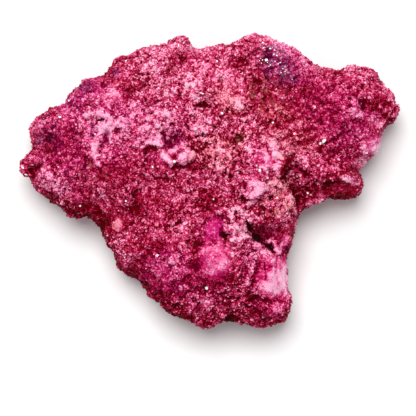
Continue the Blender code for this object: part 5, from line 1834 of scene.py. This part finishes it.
@dataclass(frozen=True)
class Glints:
    """The painted glints, as one piece."""

    name: str = "glints"
    corners: int = 5
    base_radius: float = 0.5
    top_radius: float = 0.4
    thickness: float = 0.25
    proud: float = 0.35
    level: float = 0.75

    def build(self, stone: bpy.types.Object) -> bpy.types.Object:
        """Lays the painted glints on the stone.

        Args:
            stone: What they lie on.

        Returns:
            The new object.
        """
        merged = bmesh.new()
        eye = Vector((AIM[0], AIM[1], AIM[2] + CAMERA_HEIGHT)) * MM
        for number, glint in enumerate(GLINTS):
            towards = Vector((glint.x, glint.y, AIM[2])) * MM - eye
            found, spot, normal, _ = stone.ray_cast(eye, towards.normalized())
            if not found:
                log.warning("flake %d misses the stone", number)
                continue
            bmesh.ops.create_cone(
                merged,
                cap_ends=True,
                segments=self.corners,
                radius1=self.base_radius,
                radius2=self.top_radius,
                depth=1.0,
                matrix=self.place(glint, spot, normal),
            )
        mesh = bpy.data.meshes.new(self.name)
        merged.to_mesh(mesh)
        merged.free()
        mesh.materials.append(GLINT_FINISH.build())
        glints = bpy.data.objects.new(self.name, mesh)
        bpy.context.scene.collection.objects.link(glints)
        return glints

    def place(self, glint: Glint, spot: Vector, normal: Vector) -> Matrix:
        """Where a flake lies, how it is turned and how large it is.

        Args:
            glint: The flake.
            spot: The point of the stone under it.
            normal: The stone's normal there.

        Returns:
            The matrix from a flake of size 1 at the origin.
        """
        facing = normal.lerp(Vector((0.0, 0.0, 1.0)), self.level).normalized()
        turn = facing.to_track_quat("Z", "Y").to_matrix().to_4x4()
        turn = turn @ Matrix.Rotation(math.radians(glint.turn), 4, "Z")
        size = Matrix.Diagonal((glint.length * MM, glint.width * MM, self.thickness * MM, 1.0))
        return Matrix.Translation(spot + facing * self.proud * MM) @ turn @ size


@dataclass
class Studio:
    """A pale floor, soft light from the picture's upper left and a camera that looks straight down."""

    picture_width: float = 93.56
    sensor: float = 36.0
    floor_half: float = 900.0
    key_power: float = 2.8
    key_size: float = 34.0
    key_height: float = 68.0
    key_side: float = 14.0
    ambient: float = 0.42
    ambient_colour: Colour = (1.0, 0.99, 1.0, 1.0)

    def build(self) -> None:
        """Makes the floor, the lights and the camera."""
        self.floor()
        self.key()
        self.surround()
        self.camera()

    def floor(self) -> None:
        """Lays the floor."""
        bpy.ops.mesh.primitive_plane_add(size=2.0 * self.floor_half * MM)
        floor = bpy.context.object
        floor.name = "floor"
        floor.data.materials.append(FLOOR.build())

    def key(self) -> None:
        """Sets up one broad key light."""
        sun = bpy.data.lights.new("key", "SUN")
        sun.energy = self.key_power
        sun.angle = math.radians(self.key_size)
        key = bpy.data.objects.new("key", sun)
        height = math.radians(self.key_height)
        side = math.radians(self.key_side)
        level = math.cos(height)
        towards = Vector((-math.sin(side) * level, math.cos(side) * level, math.sin(height)))
        key.rotation_euler = towards.to_track_quat("Z", "Y").to_euler()
        bpy.context.scene.collection.objects.link(key)

    def surround(self) -> None:
        """Sets up the even pale surround."""
        world = bpy.data.worlds.new("surround")
        world.use_nodes = True
        background = world.node_tree.nodes["Background"]
        background.inputs["Color"].default_value = self.ambient_colour
        background.inputs["Strength"].default_value = self.ambient
        bpy.context.scene.world = world
        bpy.context.scene.view_settings.view_transform = "Standard"

    def camera(self) -> None:
        """Hangs the camera over the face."""
        lens = bpy.data.cameras.new("camera")
        lens.sensor_width = self.sensor
        lens.lens = self.sensor * CAMERA_HEIGHT / self.picture_width
        camera = bpy.data.objects.new("camera", lens)
        camera.location = (Vector(AIM) + Vector((0.0, 0.0, CAMERA_HEIGHT))) * MM
        bpy.context.scene.collection.objects.link(camera)
        bpy.context.scene.camera = camera


def report(piece: bpy.types.Object) -> None:
    """Logs a piece's name and how many triangles it has."""
    piece.data.calc_loop_triangles()
    log.info("%s: %d triangles", piece.name, len(piece.data.loop_triangles))


def main() -> None:
    """Builds the specimen and its studio."""
    logging.basicConfig(level=logging.INFO, format="%(message)s")
    finishes = {Cover.SUGAR: DRUSE.build(), Cover.GLASSY: GLASS.build()}
    stone = Stone().build(finishes[Cover.SUGAR])
    crystals = Crystals()
    pieces = [stone, Glints().build(stone)]
    pieces += [crystals.grow(layer, stone, finishes[layer.cover]) for layer in LAYERS]
    for piece in pieces:
        report(piece)
        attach(piece, BODY)
    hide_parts(NODE)
    Studio().build()


if __name__ == "__main__":
    main()
